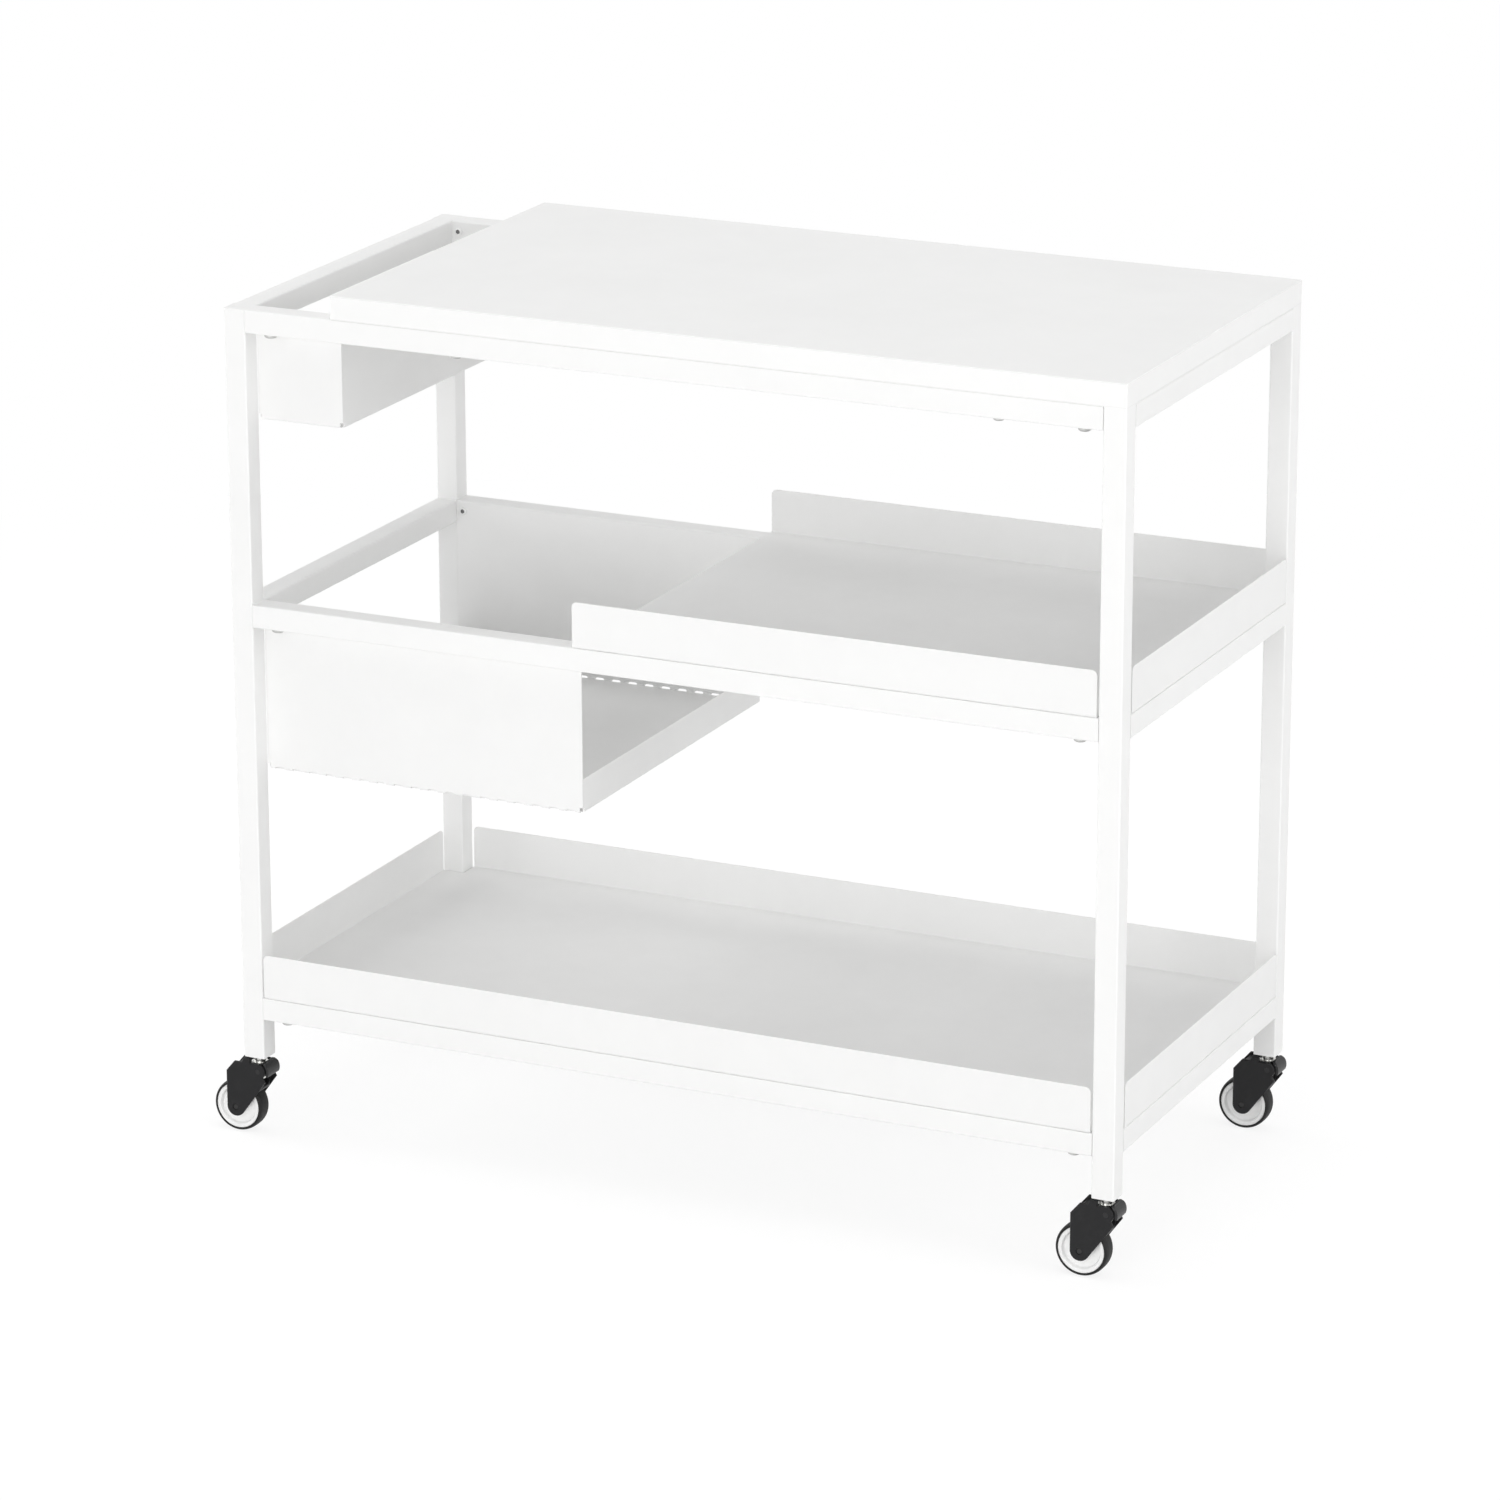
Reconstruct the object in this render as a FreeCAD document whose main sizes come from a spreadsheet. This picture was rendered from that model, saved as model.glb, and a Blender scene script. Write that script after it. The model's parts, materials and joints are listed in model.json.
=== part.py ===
import FreeCAD, Part
import os
import re
import Sketcher

# A rolling kitchen cart for a microwave oven: a frame of square tube on four swivel casters, a worktop
# that leaves the left bay open, two folded trays, and two folded bins that hang in the left bay.
# X runs to the right, Y to the back and Z up. The origin lies on the floor, under the middle of the
# whole cart, casters included. Sizes are in millimetres.

PARTS_FOLDER = "parts"

# Driving sizes: name, value, what it measures.
SIZES = [
    ("frame_length", 890, "frame over its posts, left to right"),
    ("frame_depth", 430, "frame over its posts, front to back"),
    ("frame_top", 808, "floor to the top of the frame"),
    ("middle_level", 527, "floor to the top of the middle rails"),
    ("low_level", 139.5, "floor to the top of the low rails"),
    ("tube", 22, "side of the square tube"),
    ("tube_wall", 1.2, "wall of the square tube"),
    ("tube_corner", 1.6, "outer corner radius of the square tube"),
    ("post_cap", 2, "thickness of the closed top of a post"),
    ("spigot_length", 42, "length of a spigot inside a long rail"),
    ("spigot_fit", 0.15, "gap between a spigot and the rail round it"),
    ("spigot_lead", 2, "chamfer on the free end of a spigot"),
    ("rail_screw_inset", 21, "post to the screw under a rail end"),
    ("rail_screw_shank", 6, "shank diameter of a rail screw"),
    ("rail_screw_head", 12.4, "head diameter of a rail screw"),
    ("rail_screw_head_height", 4.4, "head height of a rail screw"),
    ("rail_screw_bite", 14, "length of a rail screw inside its spigot"),
    ("worktop_thickness", 22, "thickness of the worktop"),
    ("worktop_start", 111, "left side of the frame to the worktop"),
    ("worktop_round", 1.2, "edge radius of the worktop"),
    ("worktop_screw_spread", 532, "between the left and the right worktop screws"),
    ("worktop_screw_shank", 5, "shank diameter of a worktop screw"),
    ("worktop_screw_head", 11, "head diameter of a worktop screw"),
    ("worktop_screw_head_height", 3.6, "head height of a worktop screw"),
    ("worktop_screw_bite", 14, "length of a worktop screw inside the worktop"),
    ("pilot_spare", 1, "depth of a screw's hole in the worktop past the screw"),
    ("sheet", 1, "thickness of the folded sheet"),
    ("fold_radius", 1.2, "inner radius of a fold"),
    ("post_gap", 1.8, "gap between a tray and a post"),
    ("lip_height", 43.5, "height of a tray's lips"),
    ("lip_corner", 5, "radius on the upper corners of a lip"),
    ("tray_gap", 2, "large bin to the middle tray"),
    ("edge_flange", 12, "height of the flange under the middle tray's free edge"),
    ("large_bin_length", 330, "length of the large bin"),
    ("large_bin_drop", 165, "top of the middle rails to the bottom of the large bin"),
    ("small_bin_gap", 1, "gap between the small bin and the worktop"),
    ("small_bin_drop", 108, "top of the frame to the bottom of the small bin"),
    ("panel_drop", 1, "top of a rail to the top edge of a bin panel"),
    ("end_lip", 33, "height of the low ends of the bins"),
    ("corner_gap", 0.5, "gap between a bin panel and the wall at its end"),
    ("corner_relief", 3, "width of the relief at a bin's lower corners"),
    ("relief_height", 5.5, "height of the relief at a bin's lower corners"),
    ("slot_length", 10, "length of a slot in a fold"),
    ("slot_width", 4.8, "width of a slot in a fold"),
    ("slot_reach", 3.2, "depth that a slot reaches into the bin's bottom"),
    ("slot_margin", 12, "end of the large bin to the middle of its first slot"),
    ("slot_count", 18, "slots in a row"),
    ("bin_screw_inset", 7.5, "end of a bin panel to its screw"),
    ("bin_screw_drop", 10, "top of a rail to the bin screws"),
    ("bin_screw_shank", 3.6, "shank diameter of a bin screw"),
    ("bin_screw_head", 7.6, "head diameter of a bin screw"),
    ("bin_screw_head_height", 2.4, "head height of a bin screw"),
    ("bin_screw_bite", 8, "length of a bin screw behind its panel"),
    ("screw_fit", 0.05, "radial gap round a screw's shank"),
    ("wheel_diameter", 51, "outer diameter of a tyre"),
    ("tyre_crown", 2.1, "rise of the tread above the tyre's shoulders"),
    ("tread_width", 7, "width of the level middle of the tread"),
    ("tread_slope", 0.5, "drop of the tread where its steeper edges begin"),
    ("tread_edge", 2.8, "width of a steeper edge of the tread"),
    ("tyre_thickness", 3, "thickness of a tyre at its crown"),
    ("tyre_width", 17.2, "width of a tyre"),
    ("rim_width", 16, "width of a wheel's rim"),
    ("rim_depth", 4, "radial depth of a wheel's rim"),
    ("web_width", 9.6, "thickness of a wheel between hub and rim"),
    ("web_draft", 1, "radial width of the slopes beside a wheel's web"),
    ("hub_diameter", 15, "diameter of a wheel's hub"),
    ("wheel_side_gap", 0.4, "gap between a wheel's hub and a cheek"),
    ("wheel_trail", 21, "swivel axis to axle"),
    ("axle_diameter", 6, "diameter of an axle"),
    ("axle_recess", 0.5, "depth of an axle's ends below the cheeks"),
    ("axle_chamfer", 0.5, "chamfer on an axle's ends"),
    ("running_fit", 0.05, "radial gap of a turning shaft"),
    ("cheek_gap", 20.2, "between the two cheeks of a caster"),
    ("cheek", 2.6, "thickness of a cheek"),
    ("cheek_radius", 9.3, "radius of a cheek round its axle"),
    ("cheek_chamfer", 0.8, "chamfer round a cheek"),
    ("cheek_toe", -36.9, "degrees above the level, from the axle to the foot of a cheek's front edge"),
    ("shoulder_height", 10.5, "top of the wheel to the hood's sloping corner"),
    ("hood_height", 20.9, "top of the wheel to the top of the hood"),
    ("brow_x", 21.5, "swivel axis to the top of the hood's slope"),
    ("horn_height", 4.6, "rise of a cheek's horn above the hood"),
    ("horn_front", 4.2, "swivel axis to the front of a horn"),
    ("horn_back", 13.6, "swivel axis to the back of a horn"),
    ("horn_taper", 2, "a horn's foot to its top, along X, at the back"),
    ("horn_round", 1.2, "corner radius of a horn"),
    ("hood_wall", 2.2, "thickness of the cover between the cheeks"),
    ("hood_sink", 2.9, "depth of the cover below the cheeks' top edge"),
    ("cover_headroom", 3, "top of the wheel to the cover's lower edge"),
    ("boss_height", 12, "height of the swivel boss"),
    ("boss_radius", 6.2, "outer radius of the swivel boss"),
    ("boss_root", 4.5, "swivel axis to the block behind the boss"),
    ("block_depth", 4, "thickness of the block behind the boss"),
    ("cover_shift", 1, "offset of the cover's inner corner from its outer one"),
    ("spindle_diameter", 8, "diameter of the stem inside the boss"),
    ("rivet_diameter", 11, "diameter of the stem's riveted end"),
    ("rivet_height", 1.8, "height of the stem's riveted end"),
    ("seat_gap", 0.3, "gap above and below the swivel boss"),
    ("collar_diameter", 16, "diameter of the stem's collar"),
    ("collar_height", 2.4, "height of the stem's collar"),
    ("neck_diameter", 11, "diameter of the stem between collar and post"),
    ("thread_diameter", 8, "diameter of the stem inside the post"),
    ("thread_length", 24, "length of the stem inside the post"),
    ("caster_height", 27, "top of the wheel to the foot of the post"),
    ("socket_length", 28, "length of the socket inside a post's foot"),
    ("pivot_x", 4, "swivel axis to the lever's pivot"),
    ("pivot_rise", 13.5, "top of the wheel to the lever's pivot"),
    ("ear_radius", 7.4, "radius of the cheeks round the lever's pivot"),
    ("chin_x", 11.3, "swivel axis to the cheeks' front corner"),
    ("chin_rise", 3.2, "top of the wheel to the cheeks' front corner"),
    ("trunnion_diameter", 4.8, "diameter of the lever's trunnions"),
    ("ear_bearing", -50, "degrees above the level, from the pivot to where the cheeks' chin begins"),
    ("pedal_gap", 1.4, "gap between the cheeks and the pedal"),
    ("pedal_thickness", 2.2, "thickness of the pedal"),
    ("pedal_width", 22, "width of the pedal"),
    ("pedal_lip", 1.3, "radius of the bead along the pedal's top edge"),
    ("pedal_corner", 5, "corner radius of the pedal's top edge"),
    ("lever_arm", 2.4, "thickness of the lever's arms"),
    ("lever_side_gap", 0.2, "gap between the lever's arms and the cheeks"),
    ("lever_hub_radius", 4.2, "radius of the lever's arms round the pivot"),
    ("shoe_radius", 2, "radius of the brake shoe"),
    ("shoe_gap", 2.6, "gap between the brake shoe and the tyre at rest"),
    ("shoe_bearing", 40, "degrees above the level, from the axle to the brake shoe"),
    ("pedal_top_bearing", 55, "degrees above the level, from the pivot to the pedal's top edge"),
    ("pedal_foot_bearing", -24, "degrees above the level, from the pivot to the pedal's foot"),
    ("arm_margin", 6, "degrees that the lever's arms stop short of the pedal's edges"),
]
NAMES = re.compile(r"\b(" + "|".join(name for name, _, _ in SIZES) + r")\b")

# Places worked out from the sizes.
PEDAL_INNER = "(ear_radius + pedal_gap)"
PEDAL_OUTER = f"({PEDAL_INNER} + pedal_thickness)"
LEFT_OVERHANG = "(wheel_trail + wheel_diameter / 2 - tube / 2)"
RIGHT_OVERHANG = f"(pivot_x + {PEDAL_OUTER} - tube / 2)"
LEFT = f"((-frame_length + {LEFT_OVERHANG} - {RIGHT_OVERHANG}) / 2)"
RIGHT = f"({LEFT} + frame_length)"
CENTRE = f"({LEFT} + frame_length / 2)"
FRONT = "(-frame_depth / 2)"
BACK = "(frame_depth / 2)"
POST_FOOT = "(wheel_diameter + caster_height)"
RAIL_LENGTH = "(frame_length - 2 * tube)"
RAIL_DEPTH = "(frame_depth - 2 * tube)"
CORE = "(tube - 2 * tube_wall)"
NOTCH = "(tube + post_gap)"
WORKTOP_LENGTH = "(frame_length - worktop_start)"
WORKTOP_CENTRE = f"({LEFT} + worktop_start + {WORKTOP_LENGTH} / 2)"
SMALL_BIN_LENGTH = "(worktop_start - tube - small_bin_gap)"
SMALL_BIN_CENTRE = f"({LEFT} + tube + {SMALL_BIN_LENGTH} / 2)"
LARGE_BIN_CENTRE = f"({LEFT} + tube + large_bin_length / 2)"
TRAY_START = "(tube + large_bin_length + tray_gap)"
SLOT_ROW = "(large_bin_length - 2 * slot_margin)"
WHEEL_RADIUS = "(wheel_diameter / 2)"
HOOD_TOP = "(wheel_diameter + hood_height)"
COVER_TOP = f"({HOOD_TOP} - hood_sink)"
HOOD_BACK = "(-wheel_trail - cheek_radius)"
PIVOT_Z = "(wheel_diameter + pivot_rise)"
SHOE_REACH = f"({WHEEL_RADIUS} + shoe_gap + shoe_radius)"
SHOE_X = f"(-wheel_trail + {SHOE_REACH} * cos(shoe_bearing))"
SHOE_Z = f"({WHEEL_RADIUS} + {SHOE_REACH} * sin(shoe_bearing))"

document = FreeCAD.newDocument("microwave_cart")
sheet = document.addObject("Spreadsheet::Sheet", "Sizes")
sub_parts = []


def fill_sheet():
    """Writes the driving sizes to the sheet, one to a row."""
    for row, (name, value, meaning) in enumerate(SIZES, start=1):
        sheet.set(f"A{row}", meaning)
        sheet.set(f"B{row}", str(value))
        sheet.setAlias(f"B{row}", name)
    document.recompute()


def tied(text):
    """An expression with each size's name pointing at its cell."""
    return NAMES.sub(r"Sizes.\1", text)


def number(text):
    """The value of an expression, in millimetres."""
    return float(sheet.evalExpression(tied(text)))


def new_body(label, x, y, z, many_solids=False):
    """An empty body whose own origin lies at x, y, z."""
    body = document.addObject("PartDesign::Body", label)
    body.Label = label
    body.AllowCompound = many_solids
    for axis, place in zip("xyz", (x, y, z)):
        body.setExpression(f".Placement.Base.{axis}", tied(place))
    sub_parts.append(body)
    return body


def origin_item(body, role):
    """One of a body's own origin planes or axes."""
    return next(item for item in body.Origin.OriginFeatures if item.Role == role)


def new_sketch(body, role, offset="0"):
    """A sketch on an origin plane, moved along the plane's normal."""
    sketch = body.newObject("Sketcher::SketchObject", f"{body.Name}_outline")
    sketch.AttachmentSupport = [(origin_item(body, role), "")]
    sketch.MapMode = "FlatFace"
    sketch.setExpression(".AttachmentOffset.Base.z", tied(offset))
    return sketch


def pin(sketch, kind, geometry, point, text):
    """Ties the place of a point, or a radius, to an expression."""
    value = number(text)
    if kind == "Radius":
        index = sketch.addConstraint(Sketcher.Constraint(kind, geometry, value))
    else:
        index = sketch.addConstraint(Sketcher.Constraint(kind, -1, 1, geometry, point, value))
    sketch.setExpression(f"Constraints[{index}]", tied(text))


def trace(sketch, corners, arcs=None, smooth=()):
    """A closed outline.

    A corner is (x, y) or (x, y, which of its coordinates are pinned). arcs gives, by the number of the
    corner that it starts from, an arc's centre, radius and turn (1 for anticlockwise). At a smooth corner
    the two edges are tangent.
    """
    arcs = arcs or {}
    spots = [FreeCAD.Vector(number(corner[0]), number(corner[1]), 0) for corner in corners]
    starts = []
    ends = []
    for here, spot in enumerate(spots):
        following = spots[(here + 1) % len(spots)]
        if here not in arcs:
            starts.append((sketch.addGeometry(Part.LineSegment(spot, following)), 1))
            ends.append((starts[-1][0], 2))
            continue
        centre_x, centre_y, radius, turn = arcs[here]
        centre = FreeCAD.Vector(number(centre_x), number(centre_y), 0)
        circle = Part.Circle(centre, FreeCAD.Vector(0, 0, 1), number(radius))
        first, last = (spot, following) if turn > 0 else (following, spot)
        angles = [circle.parameter(first), circle.parameter(last)]
        index = sketch.addGeometry(Part.ArcOfCircle(circle, *angles))
        starts.append((index, 1 if turn > 0 else 2))
        ends.append((index, 2 if turn > 0 else 1))
        pin(sketch, "DistanceX", index, 3, centre_x)
        pin(sketch, "DistanceY", index, 3, centre_y)
        pin(sketch, "Radius", index, 0, radius)
    for here, corner in enumerate(corners):
        joint = "Tangent" if here in smooth else "Coincident"
        sketch.addConstraint(Sketcher.Constraint(joint, *ends[here - 1], *starts[here]))
        pinned = corner[2] if len(corner) > 2 else "xy"
        for letter in pinned:
            pin(sketch, f"Distance{letter.upper()}", *starts[here], corner["xy".index(letter)])


def trace_box(sketch, x_low, x_high, y_low, y_high):
    """A rectangle from its sides."""
    trace(sketch, [(x_low, y_low), (x_high, y_low), (x_high, y_high), (x_low, y_high)])


def trace_circle(sketch, x, y, radius):
    """A circle from its centre and radius."""
    centre = FreeCAD.Vector(number(x), number(y), 0)
    index = sketch.addGeometry(Part.Circle(centre, FreeCAD.Vector(0, 0, 1), number(radius)))
    pin(sketch, "DistanceX", index, 3, x)
    pin(sketch, "DistanceY", index, 3, y)
    pin(sketch, "Radius", index, 0, radius)


def add_feature(body, kind, sketch, length, both_ways, backwards):
    """A pad or a pocket of a sketch."""
    feature = body.newObject(f"PartDesign::{kind}", f"{body.Name}_{kind.lower()}")
    feature.Profile = sketch
    feature.setExpression(".Length", tied(length))
    feature.SideType = "Symmetric" if both_ways else "One side"
    feature.Reversed = backwards
    sketch.Visibility = False
    document.recompute()
    return feature


def pad(body, sketch, length, both_ways=False, backwards=False):
    """Grows a sketch into the body."""
    return add_feature(body, "Pad", sketch, length, both_ways, backwards)


def pocket(body, sketch, length, both_ways=False, backwards=False):
    """Cuts a sketch out of the body, and stops if nothing was cut."""
    before = body.Shape.Volume
    feature = add_feature(body, "Pocket", sketch, length, both_ways, backwards)
    if not body.Shape.Volume < before:
        raise ValueError(f"{feature.Name} cuts nothing")
    return feature


def revolve(body, sketch):
    """Turns a sketch once about its own vertical axis."""
    feature = body.newObject("PartDesign::Revolution", f"{body.Name}_revolution")
    feature.Profile = sketch
    feature.ReferenceAxis = (sketch, ["V_Axis"])
    sketch.Visibility = False
    document.recompute()
    return feature


def straight_edges(feature, axis, places):
    """Names of the straight edges along an axis that cross the other two axes at one of the places."""
    along = "XYZ".index(axis)
    across = [index for index in range(3) if index != along]
    found = []
    for index, edge in enumerate(feature.Shape.Edges, start=1):
        ends = [vertex.Point for vertex in edge.Vertexes]
        if len(ends) != 2 or edge.Curve.TypeId != "Part::GeomLine":
            continue
        if any(abs(ends[0][a] - ends[1][a]) > 1e-6 for a in across):
            continue
        if any(all(abs(ends[0][a] - p) < 1e-4 for a, p in zip(across, place)) for place in places):
            found.append(f"Edge{index}")
    return found


def dress(body, kind, size_name, size, edges):
    """A fillet or a chamfer on edges of the body's last feature."""
    if not edges:
        raise ValueError(f"{body.Name} has no edges for its {kind.lower()}")
    base = body.Tip
    feature = body.newObject(f"PartDesign::{kind}", f"{body.Name}_{kind.lower()}")
    feature.Base = (base, edges)
    feature.setExpression(f".{size_name}", tied(size))
    document.recompute()
    return feature


def fillet(body, radius, edges):
    """Rounds edges of the body's last feature."""
    return dress(body, "Fillet", "Radius", radius, edges)


def chamfer(body, size, edges):
    """Bevels edges of the body's last feature."""
    return dress(body, "Chamfer", "Size", size, edges)


def mirror(body, role):
    """Adds the mirror image of the whole body in one of its origin planes."""
    solids = len(body.Shape.Solids)
    feature = body.newObject("PartDesign::Mirrored", f"{body.Name}_mirrored")
    feature.TransformMode = "Whole shape"
    feature.MirrorPlane = (origin_item(body, role), [""])
    body.Tip = feature
    document.recompute()
    if len(body.Shape.Solids) != 2 * solids:
        raise ValueError(f"{feature.Name} made {len(body.Shape.Solids)} solids from {solids}")


# Frame

def square_tube(body, role, length, backwards):
    """A hollow square tube along the normal of a plane, with rounded outer corners."""
    sketch = new_sketch(body, role)
    trace_box(sketch, "-tube / 2", "tube / 2", "-tube / 2", "tube / 2")
    trace_box(sketch, f"-{CORE} / 2", f"{CORE} / 2", f"-{CORE} / 2", f"{CORE} / 2")
    feature = pad(body, sketch, length, backwards=backwards)
    side = number("tube / 2")
    axis = {"YZ_Plane": "X", "XZ_Plane": "Y"}[role]
    corners = [(a * side, b * side) for a in (-1, 1) for b in (-1, 1)]
    fillet(body, "tube_corner", straight_edges(feature, axis, corners))


def make_post(label, x, y):
    """An upright: a square tube with a closed top, open at its foot."""
    body = new_body(label, x, y, POST_FOOT)
    outer = new_sketch(body, "XY_Plane")
    trace_box(outer, "-tube / 2", "tube / 2", "-tube / 2", "tube / 2")
    feature = pad(body, outer, f"frame_top - {POST_FOOT}")
    side = number("tube / 2")
    corners = [(a * side, b * side) for a in (-1, 1) for b in (-1, 1)]
    fillet(body, "tube_corner", straight_edges(feature, "Z", corners))
    hollow = new_sketch(body, "XY_Plane")
    trace_box(hollow, f"-{CORE} / 2", f"{CORE} / 2", f"-{CORE} / 2", f"{CORE} / 2")
    pocket(body, hollow, f"frame_top - {POST_FOOT} - post_cap", backwards=True)


def make_side_rail(label, x, level):
    """A rail from a front post to the back post, welded to both."""
    body = new_body(label, x, f"{FRONT} + tube", f"{level} - tube / 2")
    square_tube(body, "XZ_Plane", RAIL_DEPTH, backwards=True)


def make_long_rail(label, side, level, screwed_bin, carries_worktop):
    """A rail along the front (side -1) or the back (side 1), held on spigots by a screw at each end."""
    body = new_body(
        label, f"{LEFT} + tube", f"{side} * (frame_depth - tube) / 2", f"{level} - tube / 2"
    )
    square_tube(body, "YZ_Plane", RAIL_LENGTH, backwards=False)
    ends = new_sketch(body, "XY_Plane")
    for place in ("rail_screw_inset", f"{RAIL_LENGTH} - rail_screw_inset"):
        trace_circle(ends, place, "0", "rail_screw_shank / 2 + screw_fit")
    pocket(body, ends, "tube / 2")
    if screwed_bin:
        length, _ = screwed_bin
        inner = new_sketch(body, "XZ_Plane")
        for place in ("bin_screw_inset", f"{length} - bin_screw_inset"):
            trace_circle(inner, place, "tube / 2 - bin_screw_drop", "bin_screw_shank / 2 + screw_fit")
        pocket(body, inner, "tube / 2", backwards=side > 0)
    if carries_worktop:
        middle = f"(worktop_start - tube + {WORKTOP_LENGTH} / 2)"
        through = new_sketch(body, "XY_Plane")
        for hand in (-1, 1):
            place = f"{middle} + {hand} * worktop_screw_spread / 2"
            trace_circle(through, place, "0", "worktop_screw_shank / 2 + screw_fit")
        pocket(body, through, "tube", both_ways=True)


def make_spigots(label, level, crossed):
    """Four tongues welded to the posts, one inside each end of the two long rails of a level.

    Where a bin hangs on the rails, the tongues are crossed by a hole for its screws.
    """
    body = new_body(label, CENTRE, "0", f"{level} - tube / 2", many_solids=True)
    side = f"({CORE} / 2 - spigot_fit)"
    middle = "(-(frame_depth - tube) / 2)"
    start = f"(-{RAIL_LENGTH} / 2)"
    tongue = new_sketch(body, "YZ_Plane", start)
    trace_box(tongue, f"{middle} - {side}", f"{middle} + {side}", f"-{side}", side)
    feature = pad(body, tongue, "spigot_length")
    tip = number(f"{start} + spigot_length")
    low, high = number(f"-{side}"), number(side)
    level_edges = straight_edges(feature, "Y", [(tip, low), (tip, high)])
    chamfer(body, "spigot_lead", level_edges)
    hole = new_sketch(body, "XY_Plane")
    trace_circle(hole, f"{start} + rail_screw_inset", middle, "rail_screw_shank / 2 + screw_fit")
    pocket(body, hole, "tube", both_ways=True)
    if crossed:
        cross = new_sketch(body, "XZ_Plane")
        height = "tube / 2 - bin_screw_drop"
        trace_circle(cross, f"{start} + bin_screw_inset", height, "bin_screw_shank / 2 + screw_fit")
        pocket(body, cross, "2 * frame_depth", both_ways=True)
    mirror(body, "YZ_Plane")
    mirror(body, "XZ_Plane")


def trace_screw(sketch, shank, head, head_height, reach):
    """Half of a pan-head screw, standing on its head's underside at height 0."""
    crown = f"({head} / 2 - {head_height} / 2)"
    trace(
        sketch,
        [
            ("0", f"-{head_height}"),
            (f"{crown}", f"-{head_height}"),
            (f"{head} / 2", f"-{head_height} / 2"),
            (f"{head} / 2", "0"),
            (f"{shank} / 2", "0"),
            (f"{shank} / 2", reach),
            ("0", reach),
        ],
    )


def make_upright_screws(label, x, z, spread_x, spread_y, shank, head, head_height, reach):
    """Four upright pan-head screws on a rectangle, heads down, the heads' undersides at height z."""
    single = document.addObject("PartDesign::Body", f"{label}_single")
    sketch = new_sketch(single, "XZ_Plane")
    trace_screw(sketch, shank, head, head_height, reach)
    revolve(single, sketch)
    places = [
        FreeCAD.Vector(
            number(f"{x} + {hand} * ({spread_x}) / 2"), number(f"{side} * ({spread_y}) / 2"), number(z)
        )
        for hand in (-1, 1)
        for side in (-1, 1)
    ]
    group_solids(label, single, [FreeCAD.Placement(place, FreeCAD.Rotation()) for place in places])


def group_solids(label, single, placements):
    """One node that holds a copy of a body at each of the placements."""
    group = document.addObject("Part::Feature", label)
    group.Label = label
    copies = []
    for placement in placements:
        copy = single.Shape.copy()
        copy.Placement = placement
        copies.append(copy)
    group.Shape = Part.makeCompound(copies)
    sub_parts.append(group)


def make_bin_screws(label, x, z, length):
    """Four level pan-head screws, heads inside a bin, through its two panels into the rails."""
    single = document.addObject("PartDesign::Body", f"{label}_single")
    sketch = new_sketch(single, "XZ_Plane")
    trace_screw(sketch, "bin_screw_shank", "bin_screw_head", "bin_screw_head_height", "bin_screw_bite")
    revolve(single, sketch)
    placements = []
    for hand in (-1, 1):
        for side in (-1, 1):
            place = FreeCAD.Vector(
                number(f"{x} + {hand} * ({length} / 2 - bin_screw_inset)"),
                number(f"{side} * ({RAIL_DEPTH} / 2 - sheet)"),
                number(z),
            )
            tilt = FreeCAD.Rotation(FreeCAD.Vector(1, 0, 0), -90 * side)
            placements.append(FreeCAD.Placement(place, tilt))
    group_solids(label, single, placements)


# Worktop

def make_worktop():
    """The slab on the frame, with eased edges and a pilot hole for each of its screws."""
    body = new_body("worktop", WORKTOP_CENTRE, "0", "frame_top")
    half_length = f"({WORKTOP_LENGTH} / 2)"
    half_depth = "(frame_depth / 2)"
    outline = new_sketch(body, "XY_Plane")
    trace_box(outline, f"-{half_length}", half_length, f"-{half_depth}", half_depth)
    feature = pad(body, outline, "worktop_thickness")
    x, y, z = number(half_length), number(half_depth), number("worktop_thickness")
    edges = straight_edges(feature, "X", [(-y, z), (y, z)])
    edges += straight_edges(feature, "Y", [(-x, z), (x, z)])
    edges += straight_edges(feature, "Z", [(a * x, b * y) for a in (-1, 1) for b in (-1, 1)])
    fillet(body, "worktop_round", edges)
    pilots = new_sketch(body, "XY_Plane")
    for hand in (-1, 1):
        for side in (-1, 1):
            trace_circle(
                pilots,
                f"{hand} * worktop_screw_spread / 2",
                f"{side} * (frame_depth - tube) / 2",
                "worktop_screw_shank / 2 + screw_fit",
            )
    pocket(body, pilots, "worktop_screw_bite + pilot_spare", backwards=True)


# Folded sheet

def fold_edges(feature, axis, side, height=0.0):
    """Outer and inner edge of a fold along an axis, at side on the other level axis."""
    thickness = number("sheet")
    inward = -1 if side > 0 else 1
    outer = straight_edges(feature, axis, [(side, height)])
    inner = straight_edges(feature, axis, [(side + inward * thickness, height + thickness)])
    return outer, inner


def round_folds(body, folds):
    """Rounds every fold: the outer edge by the inner radius plus the sheet, then the inner edge."""
    outer = []
    for axis, side in folds:
        outer += fold_edges(body.Tip, axis, side)[0]
    fillet(body, "fold_radius + sheet", outer)
    inner = []
    for axis, side in folds:
        inner += fold_edges(body.Tip, axis, side)[1]
    fillet(body, "fold_radius", inner)


def round_lip_ends(body, ends):
    """Rounds the upper corners of lips, given as (axis across the lip, place along it) at lip height."""
    top = number("lip_height")
    edges = []
    for axis, place in ends:
        edges += straight_edges(body.Tip, axis, [(place, top)])
    fillet(body, "lip_corner", edges)


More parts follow.
